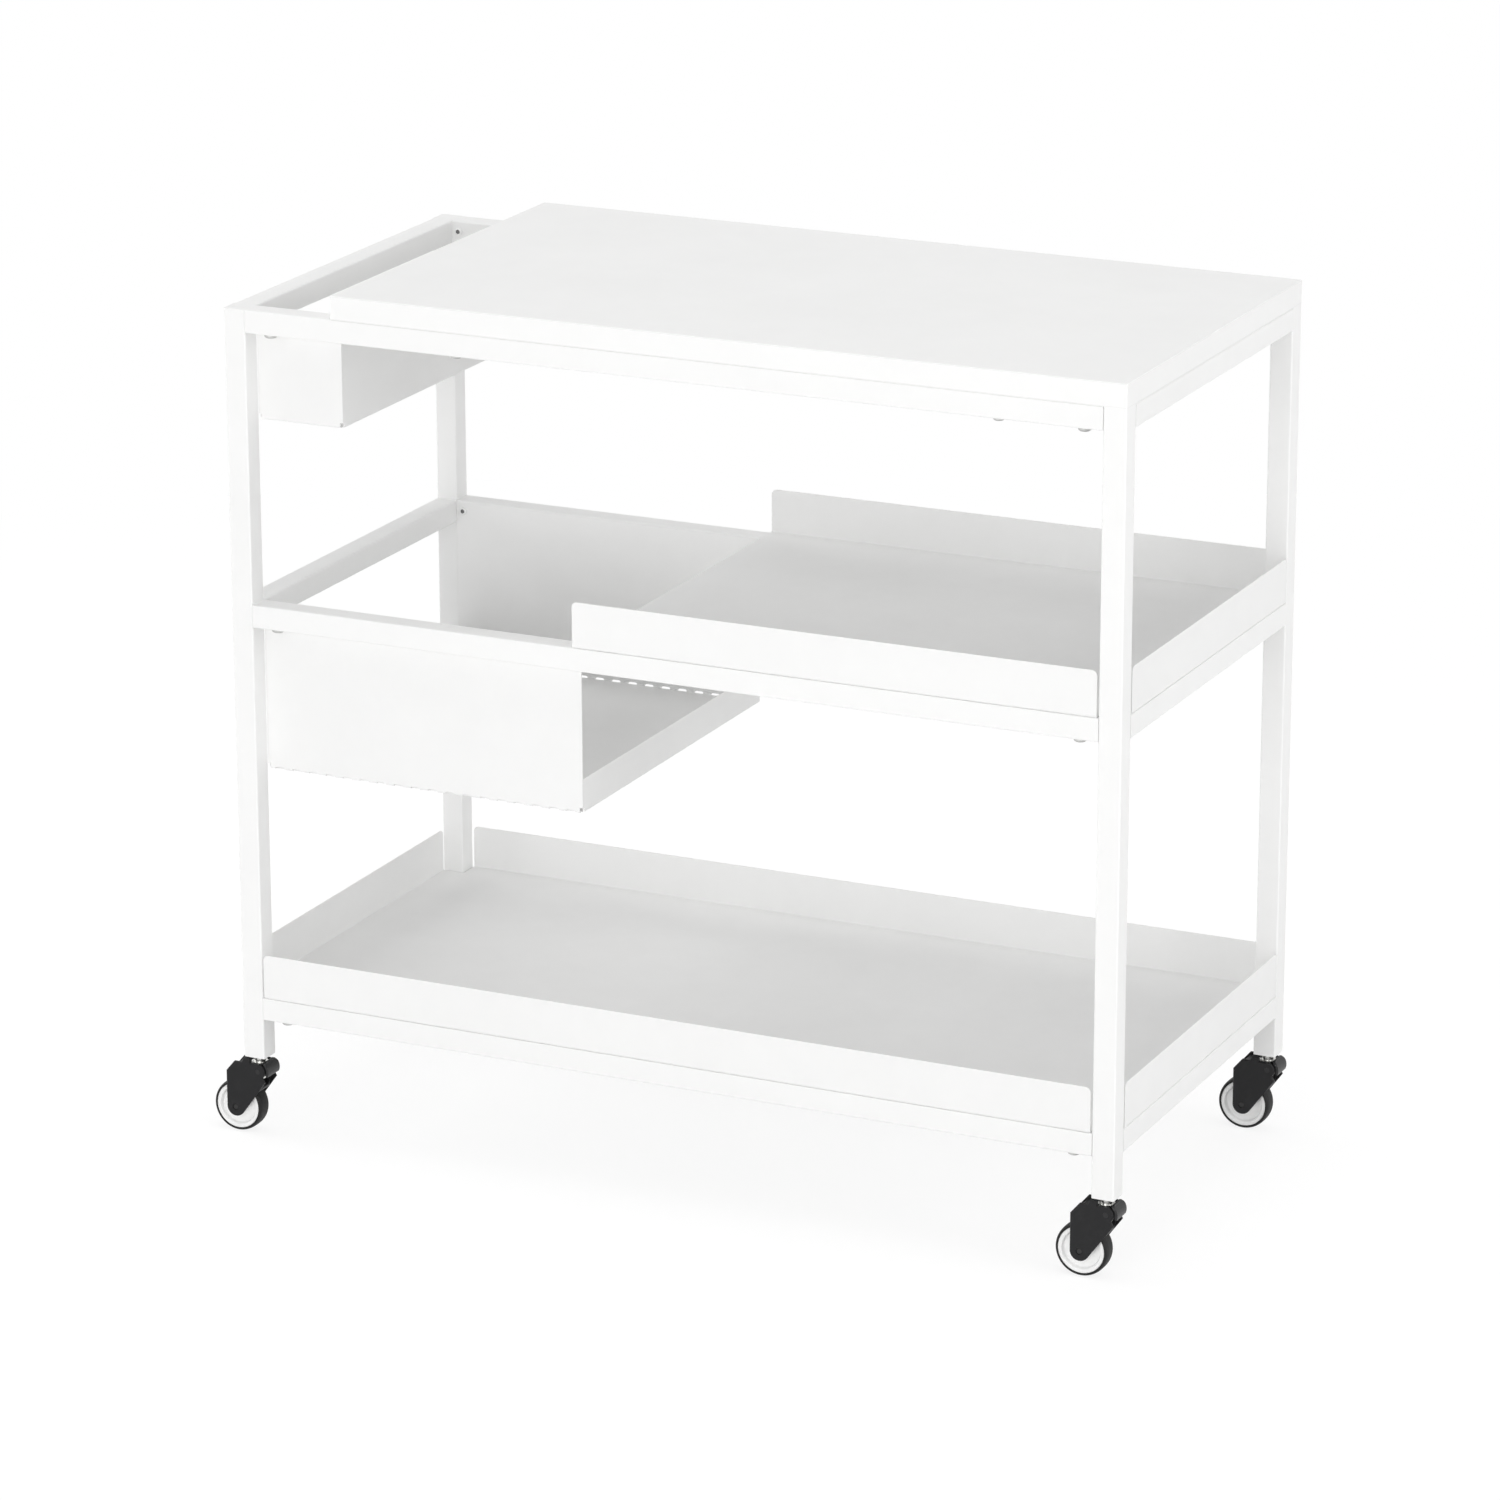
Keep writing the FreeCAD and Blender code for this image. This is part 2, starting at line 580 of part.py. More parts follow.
def make_low_tray():
    """A tray on the low rails, four lips, cut out round the posts."""
    body = new_body("low_tray", CENTRE, "0", "low_level")
    half_x, half_y = "(frame_length / 2)", "(frame_depth / 2)"
    end_x, end_y = f"({half_x} - {NOTCH})", f"({half_y} - {NOTCH})"
    floor = new_sketch(body, "XY_Plane")
    trace(
        floor,
        [
            (f"-{end_x}", f"-{half_y}"),
            (end_x, f"-{half_y}"),
            (end_x, f"-{end_y}"),
            (half_x, f"-{end_y}"),
            (half_x, end_y),
            (end_x, end_y),
            (end_x, half_y),
            (f"-{end_x}", half_y),
            (f"-{end_x}", end_y),
            (f"-{half_x}", end_y),
            (f"-{half_x}", f"-{end_y}"),
            (f"-{end_x}", f"-{end_y}"),
        ],
    )
    pad(body, floor, "sheet")
    lips = new_sketch(body, "XY_Plane")
    trace_box(lips, f"-{end_x}", end_x, f"-{half_y}", f"-{half_y} + sheet")
    trace_box(lips, f"-{end_x}", end_x, f"{half_y} - sheet", half_y)
    trace_box(lips, f"-{half_x}", f"-{half_x} + sheet", f"-{end_y}", end_y)
    trace_box(lips, f"{half_x} - sheet", half_x, f"-{end_y}", end_y)
    pad(body, lips, "lip_height")
    x, y = number(half_x), number(half_y)
    round_folds(body, [("X", -y), ("X", y), ("Y", -x), ("Y", x)])
    stop_x, stop_y = number(end_x), number(end_y)
    round_lip_ends(body, [("Y", -stop_x), ("Y", stop_x), ("X", -stop_y), ("X", stop_y)])


def make_middle_tray():
    """A tray on the middle rails: lips at the front, back and right, a flange under its free left edge."""
    body = new_body("middle_tray", CENTRE, "0", "middle_level")
    half_x, half_y = "(frame_length / 2)", "(frame_depth / 2)"
    end_x, end_y = f"({half_x} - {NOTCH})", f"({half_y} - {NOTCH})"
    start = f"({TRAY_START} - {half_x})"
    floor = new_sketch(body, "XY_Plane")
    trace(
        floor,
        [
            (start, f"-{half_y}"),
            (end_x, f"-{half_y}"),
            (end_x, f"-{end_y}"),
            (half_x, f"-{end_y}"),
            (half_x, end_y),
            (end_x, end_y),
            (end_x, half_y),
            (start, half_y),
        ],
    )
    pad(body, floor, "sheet")
    lips = new_sketch(body, "XY_Plane")
    trace_box(lips, start, end_x, f"-{half_y}", f"-{half_y} + sheet")
    trace_box(lips, start, end_x, f"{half_y} - sheet", half_y)
    trace_box(lips, f"{half_x} - sheet", half_x, f"-{end_y}", end_y)
    pad(body, lips, "lip_height")
    x, y = number(half_x), number(half_y)
    round_folds(body, [("X", -y), ("X", y), ("Y", x)])
    stop_x, stop_y = number(end_x), number(end_y)
    free = number(start)
    round_lip_ends(body, [("Y", free), ("Y", stop_x), ("X", -stop_y), ("X", stop_y)])
    flange = new_sketch(body, "XY_Plane")
    reach = f"({half_y} - {NOTCH})"
    trace_box(flange, start, f"{start} + sheet", f"-{reach}", reach)
    pad(body, flange, "edge_flange", backwards=True)


def make_bin(label, x, level, length, drop, right_wall):
    """A bin between the front and the back rail: two tall panels, a bottom, and a wall at each end."""
    body = new_body(label, x, "0", f"{level} - {drop}")
    half_x, half_y = f"({length} / 2)", f"({RAIL_DEPTH} / 2)"
    floor = new_sketch(body, "XY_Plane")
    trace_box(floor, f"-{half_x}", half_x, f"-{half_y}", half_y)
    pad(body, floor, "sheet")
    panels = new_sketch(body, "XY_Plane")
    trace_box(panels, f"-{half_x}", half_x, f"-{half_y}", f"-{half_y} + sheet")
    trace_box(panels, f"-{half_x}", half_x, f"{half_y} - sheet", half_y)
    pad(body, panels, f"{drop} - panel_drop")
    wall_end = f"({half_y} - sheet - corner_gap)"
    low_end = new_sketch(body, "XY_Plane")
    trace_box(low_end, f"-{half_x}", f"-{half_x} + sheet", f"-{wall_end}", wall_end)
    pad(body, low_end, "end_lip")
    right_end = new_sketch(body, "XY_Plane")
    trace_box(right_end, f"{half_x} - sheet", half_x, f"-{wall_end}", wall_end)
    pad(body, right_end, right_wall)
    reliefs = new_sketch(body, "XY_Plane")
    left_cut = (f"-{half_x}", f"-{half_x} + corner_relief")
    right_cut = (f"{half_x} - corner_relief", half_x)
    for low_x, high_x in (left_cut, right_cut):
        trace_box(reliefs, low_x, high_x, f"-{half_y}", f"-{half_y} + corner_relief")
        trace_box(reliefs, low_x, high_x, f"{half_y} - corner_relief", half_y)
    pocket(body, reliefs, "relief_height", backwards=True)
    x_side, y_side = number(half_x), number(half_y)
    round_folds(body, [("X", -y_side), ("X", y_side), ("Y", -x_side), ("Y", x_side)])
    holes = new_sketch(body, "XZ_Plane")
    for hand in (-1, 1):
        trace_circle(
            holes,
            f"{hand} * ({half_x} - bin_screw_inset)",
            f"{drop} - bin_screw_drop",
            "bin_screw_shank / 2 + screw_fit",
        )
    pocket(body, holes, RAIL_DEPTH, both_ways=True)
    return body


def slot_row(body, side):
    """A row of slots through the fold at the front (side -1) or the back (side 1) of the large bin."""
    first = f"(-{SLOT_ROW} / 2)"
    straight = "((slot_length - slot_width) / 2)"
    sketch = new_sketch(body, "XZ_Plane", f"{-side} * {RAIL_DEPTH} / 2")
    left, right = f"({first} - {straight})", f"({first} + {straight})"
    top, bottom = "(slot_width / 2)", "(-slot_width / 2)"
    trace(
        sketch,
        [(left, bottom, "x"), (right, bottom, "x"), (right, top, "x"), (left, top, "x")],
        arcs={1: (right, "0", "slot_width / 2", 1), 3: (left, "0", "slot_width / 2", 1)},
    )
    single = pocket(body, sketch, "slot_reach", backwards=side > 0)
    before = body.Shape.Volume
    row = body.newObject("PartDesign::LinearPattern", f"{body.Name}_slots")
    row.Originals = [single]
    row.Direction = (origin_item(body, "X_Axis"), [""])
    row.setExpression(".Length", tied(SLOT_ROW))
    row.setExpression(".Occurrences", tied("slot_count"))
    body.Tip = row
    document.recompute()
    if not body.Shape.Volume < before:
        raise ValueError("the row of slots cuts nothing")


# Caster. Each piece's own origin lies on the floor under the swivel axis, and the wheel trails to -X.

def make_socket(label, x, y):
    """A block in the foot of a post, bored for the caster's stem."""
    body = new_body(label, x, y, POST_FOOT)
    block = new_sketch(body, "XY_Plane")
    trace_box(block, f"-{CORE} / 2", f"{CORE} / 2", f"-{CORE} / 2", f"{CORE} / 2")
    trace_circle(block, "0", "0", "thread_diameter / 2 + screw_fit")
    pad(body, block, "socket_length")


def make_stem(label, x, y):
    """The caster's fixed stem: thread, neck, collar, spindle and riveted end."""
    body = new_body(label, x, y, "0")
    top = f"({POST_FOOT} + thread_length)"
    collar_foot = f"({COVER_TOP} + seat_gap)"
    rivet_top = f"({COVER_TOP} - boss_height - seat_gap)"
    half = new_sketch(body, "XZ_Plane")
    trace(
        half,
        [
            ("0", f"{rivet_top} - rivet_height"),
            ("rivet_diameter / 2", f"{rivet_top} - rivet_height"),
            ("rivet_diameter / 2", rivet_top),
            ("spindle_diameter / 2", rivet_top),
            ("spindle_diameter / 2", collar_foot),
            ("collar_diameter / 2", collar_foot),
            ("collar_diameter / 2", f"{collar_foot} + collar_height"),
            ("neck_diameter / 2", f"{collar_foot} + collar_height"),
            ("neck_diameter / 2", POST_FOOT),
            ("thread_diameter / 2", POST_FOOT),
            ("thread_diameter / 2", top),
            ("0", top),
        ],
    )
    revolve(body, half)


def make_hood(label, x, y):
    """The moulded fork: two cheeks, a sunk cover between them and the boss that turns on the stem."""
    body = new_body(label, x, y, "0")
    width = "(cheek_gap + 2 * cheek)"
    sides = new_sketch(body, "XZ_Plane")
    horn_top = f"({HOOD_TOP} + horn_height)"
    trace(
        sides,
        [
            (HOOD_BACK, WHEEL_RADIUS, ""),
            (
                "-wheel_trail + cheek_radius * cos(cheek_toe)",
                f"{WHEEL_RADIUS} + cheek_radius * sin(cheek_toe)",
                "",
            ),
            ("chin_x", "wheel_diameter + chin_rise"),
            ("pivot_x + ear_radius * cos(ear_bearing)", f"{PIVOT_Z} + ear_radius * sin(ear_bearing)", "x"),
            ("pivot_x", f"{PIVOT_Z} + ear_radius", ""),
            ("-horn_front", HOOD_TOP),
            ("-horn_front", horn_top),
            ("-horn_back + horn_taper", horn_top),
            ("-horn_back", HOOD_TOP),
            ("-brow_x", HOOD_TOP),
            (HOOD_BACK, "wheel_diameter + shoulder_height", "y"),
        ],
        arcs={
            0: ("-wheel_trail", WHEEL_RADIUS, "cheek_radius", 1),
            3: ("pivot_x", PIVOT_Z, "ear_radius", 1),
        },
        smooth=(0, 1, 4),
    )
    upright = sides.GeometryCount - 1
    sides.addConstraint(Sketcher.Constraint("Vertical", upright))
    feature = pad(body, sides, width, both_ways=True)
    corners = [("-horn_front", horn_top), ("-horn_back + horn_taper", horn_top)]
    fillet(body, "horn_round", straight_edges(feature, "Y", [(number(x), number(z)) for x, z in corners]))
    chamfer(body, "cheek_chamfer", side_edges(body.Tip, number(width) / 2))
    between = new_sketch(body, "XZ_Plane")
    far = "(2 * wheel_diameter)"
    trace_box(between, f"-{far}", far, f"-{far}", far)
    inner_back = f"({HOOD_BACK} + hood_wall)"
    cover_foot = "(wheel_diameter + cover_headroom)"
    boss_foot = f"({COVER_TOP} - boss_height)"
    slope_foot = "(wheel_diameter + shoulder_height - hood_sink / 2)"
    block_back = "(-boss_root - block_depth)"
    block_middle = "(-boss_root - block_depth / 2)"
    trace(
        between,
        [
            (HOOD_BACK, cover_foot),
            (inner_back, cover_foot),
            (inner_back, f"{slope_foot} - hood_wall / 2"),
            ("-brow_x + 2 * cover_shift", f"{COVER_TOP} - hood_wall"),
            (block_back, f"{COVER_TOP} - hood_wall"),
            (block_back, boss_foot),
            ("-boss_root", boss_foot),
            ("-boss_root", COVER_TOP),
            ("-brow_x + cover_shift", COVER_TOP),
            (HOOD_BACK, slope_foot),
        ],
    )
    pocket(body, between, "cheek_gap", both_ways=True)
    bores = new_sketch(body, "XZ_Plane")
    trace_circle(bores, "-wheel_trail", WHEEL_RADIUS, "axle_diameter / 2")
    trace_circle(bores, "pivot_x", PIVOT_Z, "trunnion_diameter / 2 + running_fit")
    pocket(body, bores, f"2 * {width}", both_ways=True)
    boss = new_sketch(body, "XY_Plane", boss_foot)
    trace(
        boss,
        [
            (block_middle, "-boss_radius"),
            ("0", "-boss_radius", "x"),
            ("0", "boss_radius", "x"),
            (block_middle, "boss_radius"),
        ],
        arcs={1: ("0", "0", "boss_radius", 1)},
    )
    pad(body, boss, "boss_height")
    bore = new_sketch(body, "XY_Plane", boss_foot)
    trace_circle(bore, "0", "0", "spindle_diameter / 2 + running_fit")
    pocket(body, bore, "boss_height", backwards=True)


def side_edges(feature, distance):
    """Names of the edges that lie in either of the two upright planes at a distance from the middle."""
    found = []
    for index, edge in enumerate(feature.Shape.Edges, start=1):
        box = edge.BoundBox
        if abs(abs(box.YMin) - distance) < 1e-4 and abs(box.YMax - box.YMin) < 1e-4:
            found.append(f"Edge{index}")
    return found


def make_axle(label, x, y):
    """A plain pin through both cheeks."""
    body = new_body(label, f"{x} - wheel_trail", y, WHEEL_RADIUS)
    half = "(cheek_gap / 2 + cheek - axle_recess)"
    profile = new_sketch(body, "XY_Plane")
    trace(
        profile,
        [
            ("0", f"-{half}"),
            ("axle_diameter / 2 - axle_chamfer", f"-{half}"),
            ("axle_diameter / 2", f"-{half} + axle_chamfer"),
            ("axle_diameter / 2", f"{half} - axle_chamfer"),
            ("axle_diameter / 2 - axle_chamfer", half),
            ("0", half),
        ],
    )
    revolve(body, profile)


def make_wheel(label, x, y):
    """A disc wheel: bored hub, thin web and wide rim."""
    body = new_body(label, f"{x} - wheel_trail", y, WHEEL_RADIUS)
    bore = "(axle_diameter / 2 + running_fit)"
    hub = "(hub_diameter / 2)"
    rim = f"({WHEEL_RADIUS} - tyre_thickness)"
    rim_foot = f"({rim} - rim_depth)"
    hub_half = "(cheek_gap / 2 - wheel_side_gap)"
    profile = new_sketch(body, "XY_Plane")
    trace(
        profile,
        [
            (bore, f"-{hub_half}"),
            (hub, f"-{hub_half}"),
            (f"{hub} + web_draft", "-web_width / 2"),
            (f"{rim_foot} - web_draft", "-web_width / 2"),
            (rim_foot, "-rim_width / 2"),
            (rim, "-rim_width / 2"),
            (rim, "rim_width / 2"),
            (rim_foot, "rim_width / 2"),
            (f"{rim_foot} - web_draft", "web_width / 2"),
            (f"{hub} + web_draft", "web_width / 2"),
            (hub, hub_half),
            (bore, hub_half),
        ],
    )
    revolve(body, profile)


def make_tyre(label, x, y):
    """A band round the wheel with a crowned tread."""
    body = new_body(label, f"{x} - wheel_trail", y, WHEEL_RADIUS)
    rim = f"({WHEEL_RADIUS} - tyre_thickness)"
    half = "(tyre_width / 2)"
    rising = [
        (f"{WHEEL_RADIUS} - tyre_crown", half),
        (f"{WHEEL_RADIUS} - tread_slope", f"({half} - tread_edge)"),
        (WHEEL_RADIUS, "(tread_width / 2)"),
    ]
    profile = new_sketch(body, "XY_Plane")
    trace(
        profile,
        [(rim, f"-{half}")]
        + [(radius, f"-{place}") for radius, place in rising]
        + rising[::-1]
        + [(rim, half)],
    )
    revolve(body, profile)


def make_lever(label, x, y):
    """The brake lever: a curved pedal, two arms on trunnions and a shoe across their lower ends."""
    body = new_body(label, x, y, "0")
    pedal = new_sketch(body, "XZ_Plane")
    foot, top = "(pedal_foot_bearing)", "(pedal_top_bearing)"
    trace(
        pedal,
        [
            (f"pivot_x + {PEDAL_OUTER} * cos({foot})", f"{PIVOT_Z} + {PEDAL_OUTER} * sin({foot})", "y"),
            (f"pivot_x + {PEDAL_OUTER} * cos({top})", f"{PIVOT_Z} + {PEDAL_OUTER} * sin({top})", "x"),
            (f"pivot_x + {PEDAL_INNER} * cos({top})", f"{PIVOT_Z} + {PEDAL_INNER} * sin({top})", "x"),
            (f"pivot_x + {PEDAL_INNER} * cos({foot})", f"{PIVOT_Z} + {PEDAL_INNER} * sin({foot})", "y"),
        ],
        arcs={
            0: ("pivot_x", PIVOT_Z, PEDAL_OUTER, 1),
            2: ("pivot_x", PIVOT_Z, PEDAL_INNER, -1),
        },
    )
    pad(body, pedal, "pedal_width", both_ways=True)
    bead = new_sketch(body, "XZ_Plane")
    bead_reach = f"({PEDAL_OUTER} - pedal_lip / 2)"
    trace_circle(
        bead,
        f"pivot_x + {bead_reach} * cos({top})",
        f"{PIVOT_Z} + {bead_reach} * sin({top})",
        "pedal_lip",
    )
    pad(body, bead, "pedal_width", both_ways=True)
    outside = "(cheek_gap / 2 - lever_side_gap)"
    for side in (-1, 1):
        add_lever_arm(body, side, outside)
    cut_pedal_corners(body, f"({PIVOT_Z} + {bead_reach} * sin({top}) + pedal_lip)")
    shoe = new_sketch(body, "XZ_Plane")
    trace_circle(shoe, SHOE_X, SHOE_Z, "shoe_radius")
    pad(body, shoe, f"2 * {outside}", both_ways=True)


def add_lever_arm(body, side, outside):
    """One arm of the brake lever: a web to the pedal, a link to the shoe and a trunnion."""
    inwards = side > 0
    reach = f"({PEDAL_INNER} + pedal_thickness / 2)"
    foot, top = "(pedal_foot_bearing + arm_margin)", "(pedal_top_bearing - arm_margin)"
    web = new_sketch(body, "XZ_Plane", f"{-side} * {outside}")
    trace(
        web,
        [
            ("pivot_x", PIVOT_Z),
            (f"pivot_x + {reach} * cos({foot})", f"{PIVOT_Z} + {reach} * sin({foot})", "y"),
            (f"pivot_x + {reach} * cos({top})", f"{PIVOT_Z} + {reach} * sin({top})", "x"),
        ],
        arcs={1: ("pivot_x", PIVOT_Z, reach, 1)},
    )
    pad(body, web, "lever_arm", backwards=not inwards)
    link = new_sketch(body, "XZ_Plane", f"{-side} * {outside}")
    hub, nose = "lever_hub_radius", "shoe_radius"
    trace(
        link,
        [
            (f"pivot_x - {hub}", PIVOT_Z, ""),
            (f"{SHOE_X} - {nose}", SHOE_Z, ""),
            (f"{SHOE_X} + {nose}", SHOE_Z, ""),
            (f"pivot_x + {hub}", PIVOT_Z, ""),
        ],
        arcs={1: (SHOE_X, SHOE_Z, nose, 1), 3: ("pivot_x", PIVOT_Z, hub, 1)},
        smooth=(0, 1, 2, 3),
    )
    pad(body, link, "lever_arm", backwards=not inwards)
    trunnion = new_sketch(body, "XZ_Plane", f"{-side} * {outside}")
    trace_circle(trunnion, "pivot_x", PIVOT_Z, "trunnion_diameter / 2")
    pad(body, trunnion, "lever_side_gap + cheek", backwards=inwards)


def cut_pedal_corners(body, top):
    """Rounds the two corners at the pedal's top edge."""
    corners = new_sketch(body, "YZ_Plane", "pivot_x")
    centre_z = f"({top} - pedal_corner)"
    for side in (-1, 1):
        edge = f"({side} * pedal_width / 2)"
        centre_y = f"({edge} - {side} * pedal_corner)"
        beyond_y, beyond_z = f"({edge} + {side} * pedal_corner)", f"({top} + pedal_corner)"
        trace(
            corners,
            [
                (edge, centre_z, "y"),
                (centre_y, top, "x"),
                (centre_y, beyond_z),
                (beyond_y, beyond_z),
                (beyond_y, centre_z),
            ],
            arcs={0: (centre_y, centre_z, "pedal_corner", side)},
        )
    pocket(body, corners, f"2 * {PEDAL_OUTER}", backwards=True)


def make_caster(corner, x, y):
    """Every piece of the caster under one post."""
    make_socket(f"stem_socket_{corner}", x, y)
    make_stem(f"caster_stem_{corner}", x, y)
    make_hood(f"caster_hood_{corner}", x, y)
    make_axle(f"caster_axle_{corner}", x, y)
    make_wheel(f"caster_wheel_{corner}", x, y)
    make_tyre(f"caster_tyre_{corner}", x, y)
    make_lever(f"brake_lever_{corner}", x, y)


def build():
    """Makes every sub-part."""
    fill_sheet()
    levels = {"top": "frame_top", "middle": "middle_level", "low": "low_level"}
    bins = {"top": (SMALL_BIN_LENGTH, SMALL_BIN_CENTRE), "middle": ("large_bin_length", LARGE_BIN_CENTRE)}
    for depth, side in (("front", -1), ("back", 1)):
        for hand, x in (("left", f"{LEFT} + tube / 2"), ("right", f"{RIGHT} - tube / 2")):
            y = f"{side} * (frame_depth - tube) / 2"
            make_post(f"post_{depth}_{hand}", x, y)
            make_caster(f"{depth}_{hand}", x, y)
        for name, level in levels.items():
            make_long_rail(f"{name}_rail_{depth}", side, level, bins.get(name), name == "top")
    for name, level in levels.items():
        for hand, x in (("left", f"{LEFT} + tube / 2"), ("right", f"{RIGHT} - tube / 2")):
            make_side_rail(f"{name}_rail_{hand}", x, level)
        make_spigots(f"{name}_spigots", level, name in bins)
        make_upright_screws(
            f"{name}_rail_screws",
            CENTRE,
            f"{level} - tube",
            f"{RAIL_LENGTH} - 2 * rail_screw_inset",
            "frame_depth - tube",
            "rail_screw_shank",
            "rail_screw_head",
            "rail_screw_head_height",
            "rail_screw_bite",
        )
    make_worktop()
    make_upright_screws(
        "worktop_screws",
        WORKTOP_CENTRE,
        "frame_top - tube",
        "worktop_screw_spread",
        "frame_depth - tube",
        "worktop_screw_shank",
        "worktop_screw_head",
        "worktop_screw_head_height",
        "tube + worktop_screw_bite",
    )
    make_low_tray()
    make_middle_tray()
    make_bin(
        "small_bin",
        SMALL_BIN_CENTRE,
        "frame_top",
        SMALL_BIN_LENGTH,
        "small_bin_drop",
        "small_bin_drop - panel_drop",
    )
    large_bin = make_bin(
        "large_bin", LARGE_BIN_CENTRE, "middle_level", "large_bin_length", "large_bin_drop", "end_lip"
    )
    slot_row(large_bin, -1)
    slot_row(large_bin, 1)
    make_bin_screws("small_bin_screws", SMALL_BIN_CENTRE, "frame_top - bin_screw_drop", SMALL_BIN_LENGTH)
    make_bin_screws(
        "large_bin_screws", LARGE_BIN_CENTRE, "middle_level - bin_screw_drop", "large_bin_length"
    )


def check():
    """Stops on a failed feature or an empty or broken shape."""
    document.recompute()
    for item in document.Objects:
        if "Invalid" in item.State or "Error" in item.State:
            raise ValueError(f"{item.Name} failed: {item.State}")
    for part in sub_parts:
        if part.Shape.isNull() or not part.Shape.isValid() or not part.Shape.Solids:
            raise ValueError(f"{part.Label} has no valid solid")


def write():
    """Writes each sub-part to its own file."""
    os.makedirs(PARTS_FOLDER, exist_ok=True)
    for part in sub_parts:
        part.Shape.exportStep(os.path.join(PARTS_FOLDER, f"{part.Label}.step"))
    print(len(sub_parts), "parts written")


build()
check()
write()
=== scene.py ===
import json
import math

import bpy
import numpy as np
from mathutils import Matrix, Vector

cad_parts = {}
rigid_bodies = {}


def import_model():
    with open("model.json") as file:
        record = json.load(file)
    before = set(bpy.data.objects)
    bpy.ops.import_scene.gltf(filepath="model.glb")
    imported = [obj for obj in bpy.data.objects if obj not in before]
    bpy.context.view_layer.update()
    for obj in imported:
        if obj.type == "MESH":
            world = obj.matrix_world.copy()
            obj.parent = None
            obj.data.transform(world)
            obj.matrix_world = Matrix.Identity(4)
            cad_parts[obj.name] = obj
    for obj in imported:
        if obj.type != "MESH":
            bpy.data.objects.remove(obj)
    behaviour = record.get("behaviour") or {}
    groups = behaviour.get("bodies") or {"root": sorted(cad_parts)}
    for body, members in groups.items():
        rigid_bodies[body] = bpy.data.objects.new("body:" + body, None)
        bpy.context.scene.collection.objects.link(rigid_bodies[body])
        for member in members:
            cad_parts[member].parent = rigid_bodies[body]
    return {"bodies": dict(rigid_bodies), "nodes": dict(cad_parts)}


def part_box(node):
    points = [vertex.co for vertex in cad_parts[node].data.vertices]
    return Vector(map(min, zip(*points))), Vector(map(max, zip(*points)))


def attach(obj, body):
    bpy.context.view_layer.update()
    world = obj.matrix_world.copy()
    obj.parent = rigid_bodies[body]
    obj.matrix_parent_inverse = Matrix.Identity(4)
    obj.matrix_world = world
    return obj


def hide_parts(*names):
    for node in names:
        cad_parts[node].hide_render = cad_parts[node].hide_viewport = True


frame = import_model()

bl_info = {
    "name": "Rolling kitchen cart",
    "version": (1, 0, 0),
    "blender": (4, 5, 0),
    "location": "3D View > Sidebar > Cart",
    "description": "Finishes, screws, wheels and studio of a rolling kitchen cart",
    "category": "Object",
}

CORNERS = ("front_left", "front_right", "back_left", "back_right")
LEVELS = ("top", "middle", "low")
MM = 0.001
MAP_NAME = "along"
LAMP_AIM = (0, 0, 0.4)

# A screw's hexagon socket: half its width as a share of the head's diameter, and how far its floor and its
# mouth lie from the face that the head bears on, as shares of the head's height.
SOCKET_SHARE = 0.26
SOCKET_FLOOR = 0.35
SOCKET_MOUTH = 0.93


def clear_start_objects():
    """Removes what the file held before the frame came in."""
    kept = list(frame["nodes"].values()) + list(frame["bodies"].values())
    for thing in list(bpy.data.objects):
        if thing not in kept:
            bpy.data.objects.remove(thing)


clear_start_objects()
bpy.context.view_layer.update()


# Settings

def length(name, description, millimetres):
    """A size that a user may change."""
    return bpy.props.FloatProperty(
        name=name, description=description, default=millimetres * MM, min=0, precision=4, unit="LENGTH"
    )


def colour(name, description, red, green, blue):
    """A colour that a user may change."""
    return bpy.props.FloatVectorProperty(
        name=name, description=description, default=(red, green, blue), min=0, max=1, subtype="COLOR"
    )


def angle(name, description, degrees):
    """An angle that a user may change."""
    return bpy.props.FloatProperty(
        name=name, description=description, default=math.radians(degrees), unit="ROTATION"
    )


class CartColours(bpy.types.PropertyGroup):
    """The colours of the cart's finishes."""

    tube_coat: colour("Tube coat", "Powder coat on the posts and rails", 0.88, 0.88, 0.875)
    sheet_coat: colour("Sheet coat", "Powder coat on the trays and bins", 0.87, 0.87, 0.865)
    worktop: colour("Worktop", "Laminate on the worktop", 0.885, 0.885, 0.88)
    edge_band: colour("Edge band joint", "Line where the laminate meets its edge band", 0.66, 0.655, 0.64)
    zinc: colour("Zinc", "Plated steel of the stems", 0.7, 0.7, 0.68)
    screw: colour("Screws", "Plated steel of the screws", 0.62, 0.62, 0.61)
    # Painted shade for the sockets of the coated screws, standing in for the shade in the recess.
    screw_socket: colour("Screw sockets", "Shade inside the sockets of the coated screws", 0.22, 0.22, 0.22)
    axle: colour("Axle", "Blackened steel of the axles", 0.05, 0.05, 0.05)
    hood: colour("Hood", "Moulded plastic of the casters' hoods", 0.013, 0.013, 0.014)
    lever: colour("Brake lever", "Moulded plastic of the brake levers", 0.018, 0.018, 0.019)
    tyre: colour("Tyre", "Rubber of the tyres", 0.014, 0.014, 0.014)
    disc: colour("Wheel disc", "Moulded plastic of the wheel discs", 0.92, 0.92, 0.915)
    socket: colour("Stem socket", "Plastic blocks in the feet of the posts", 0.05, 0.05, 0.05)


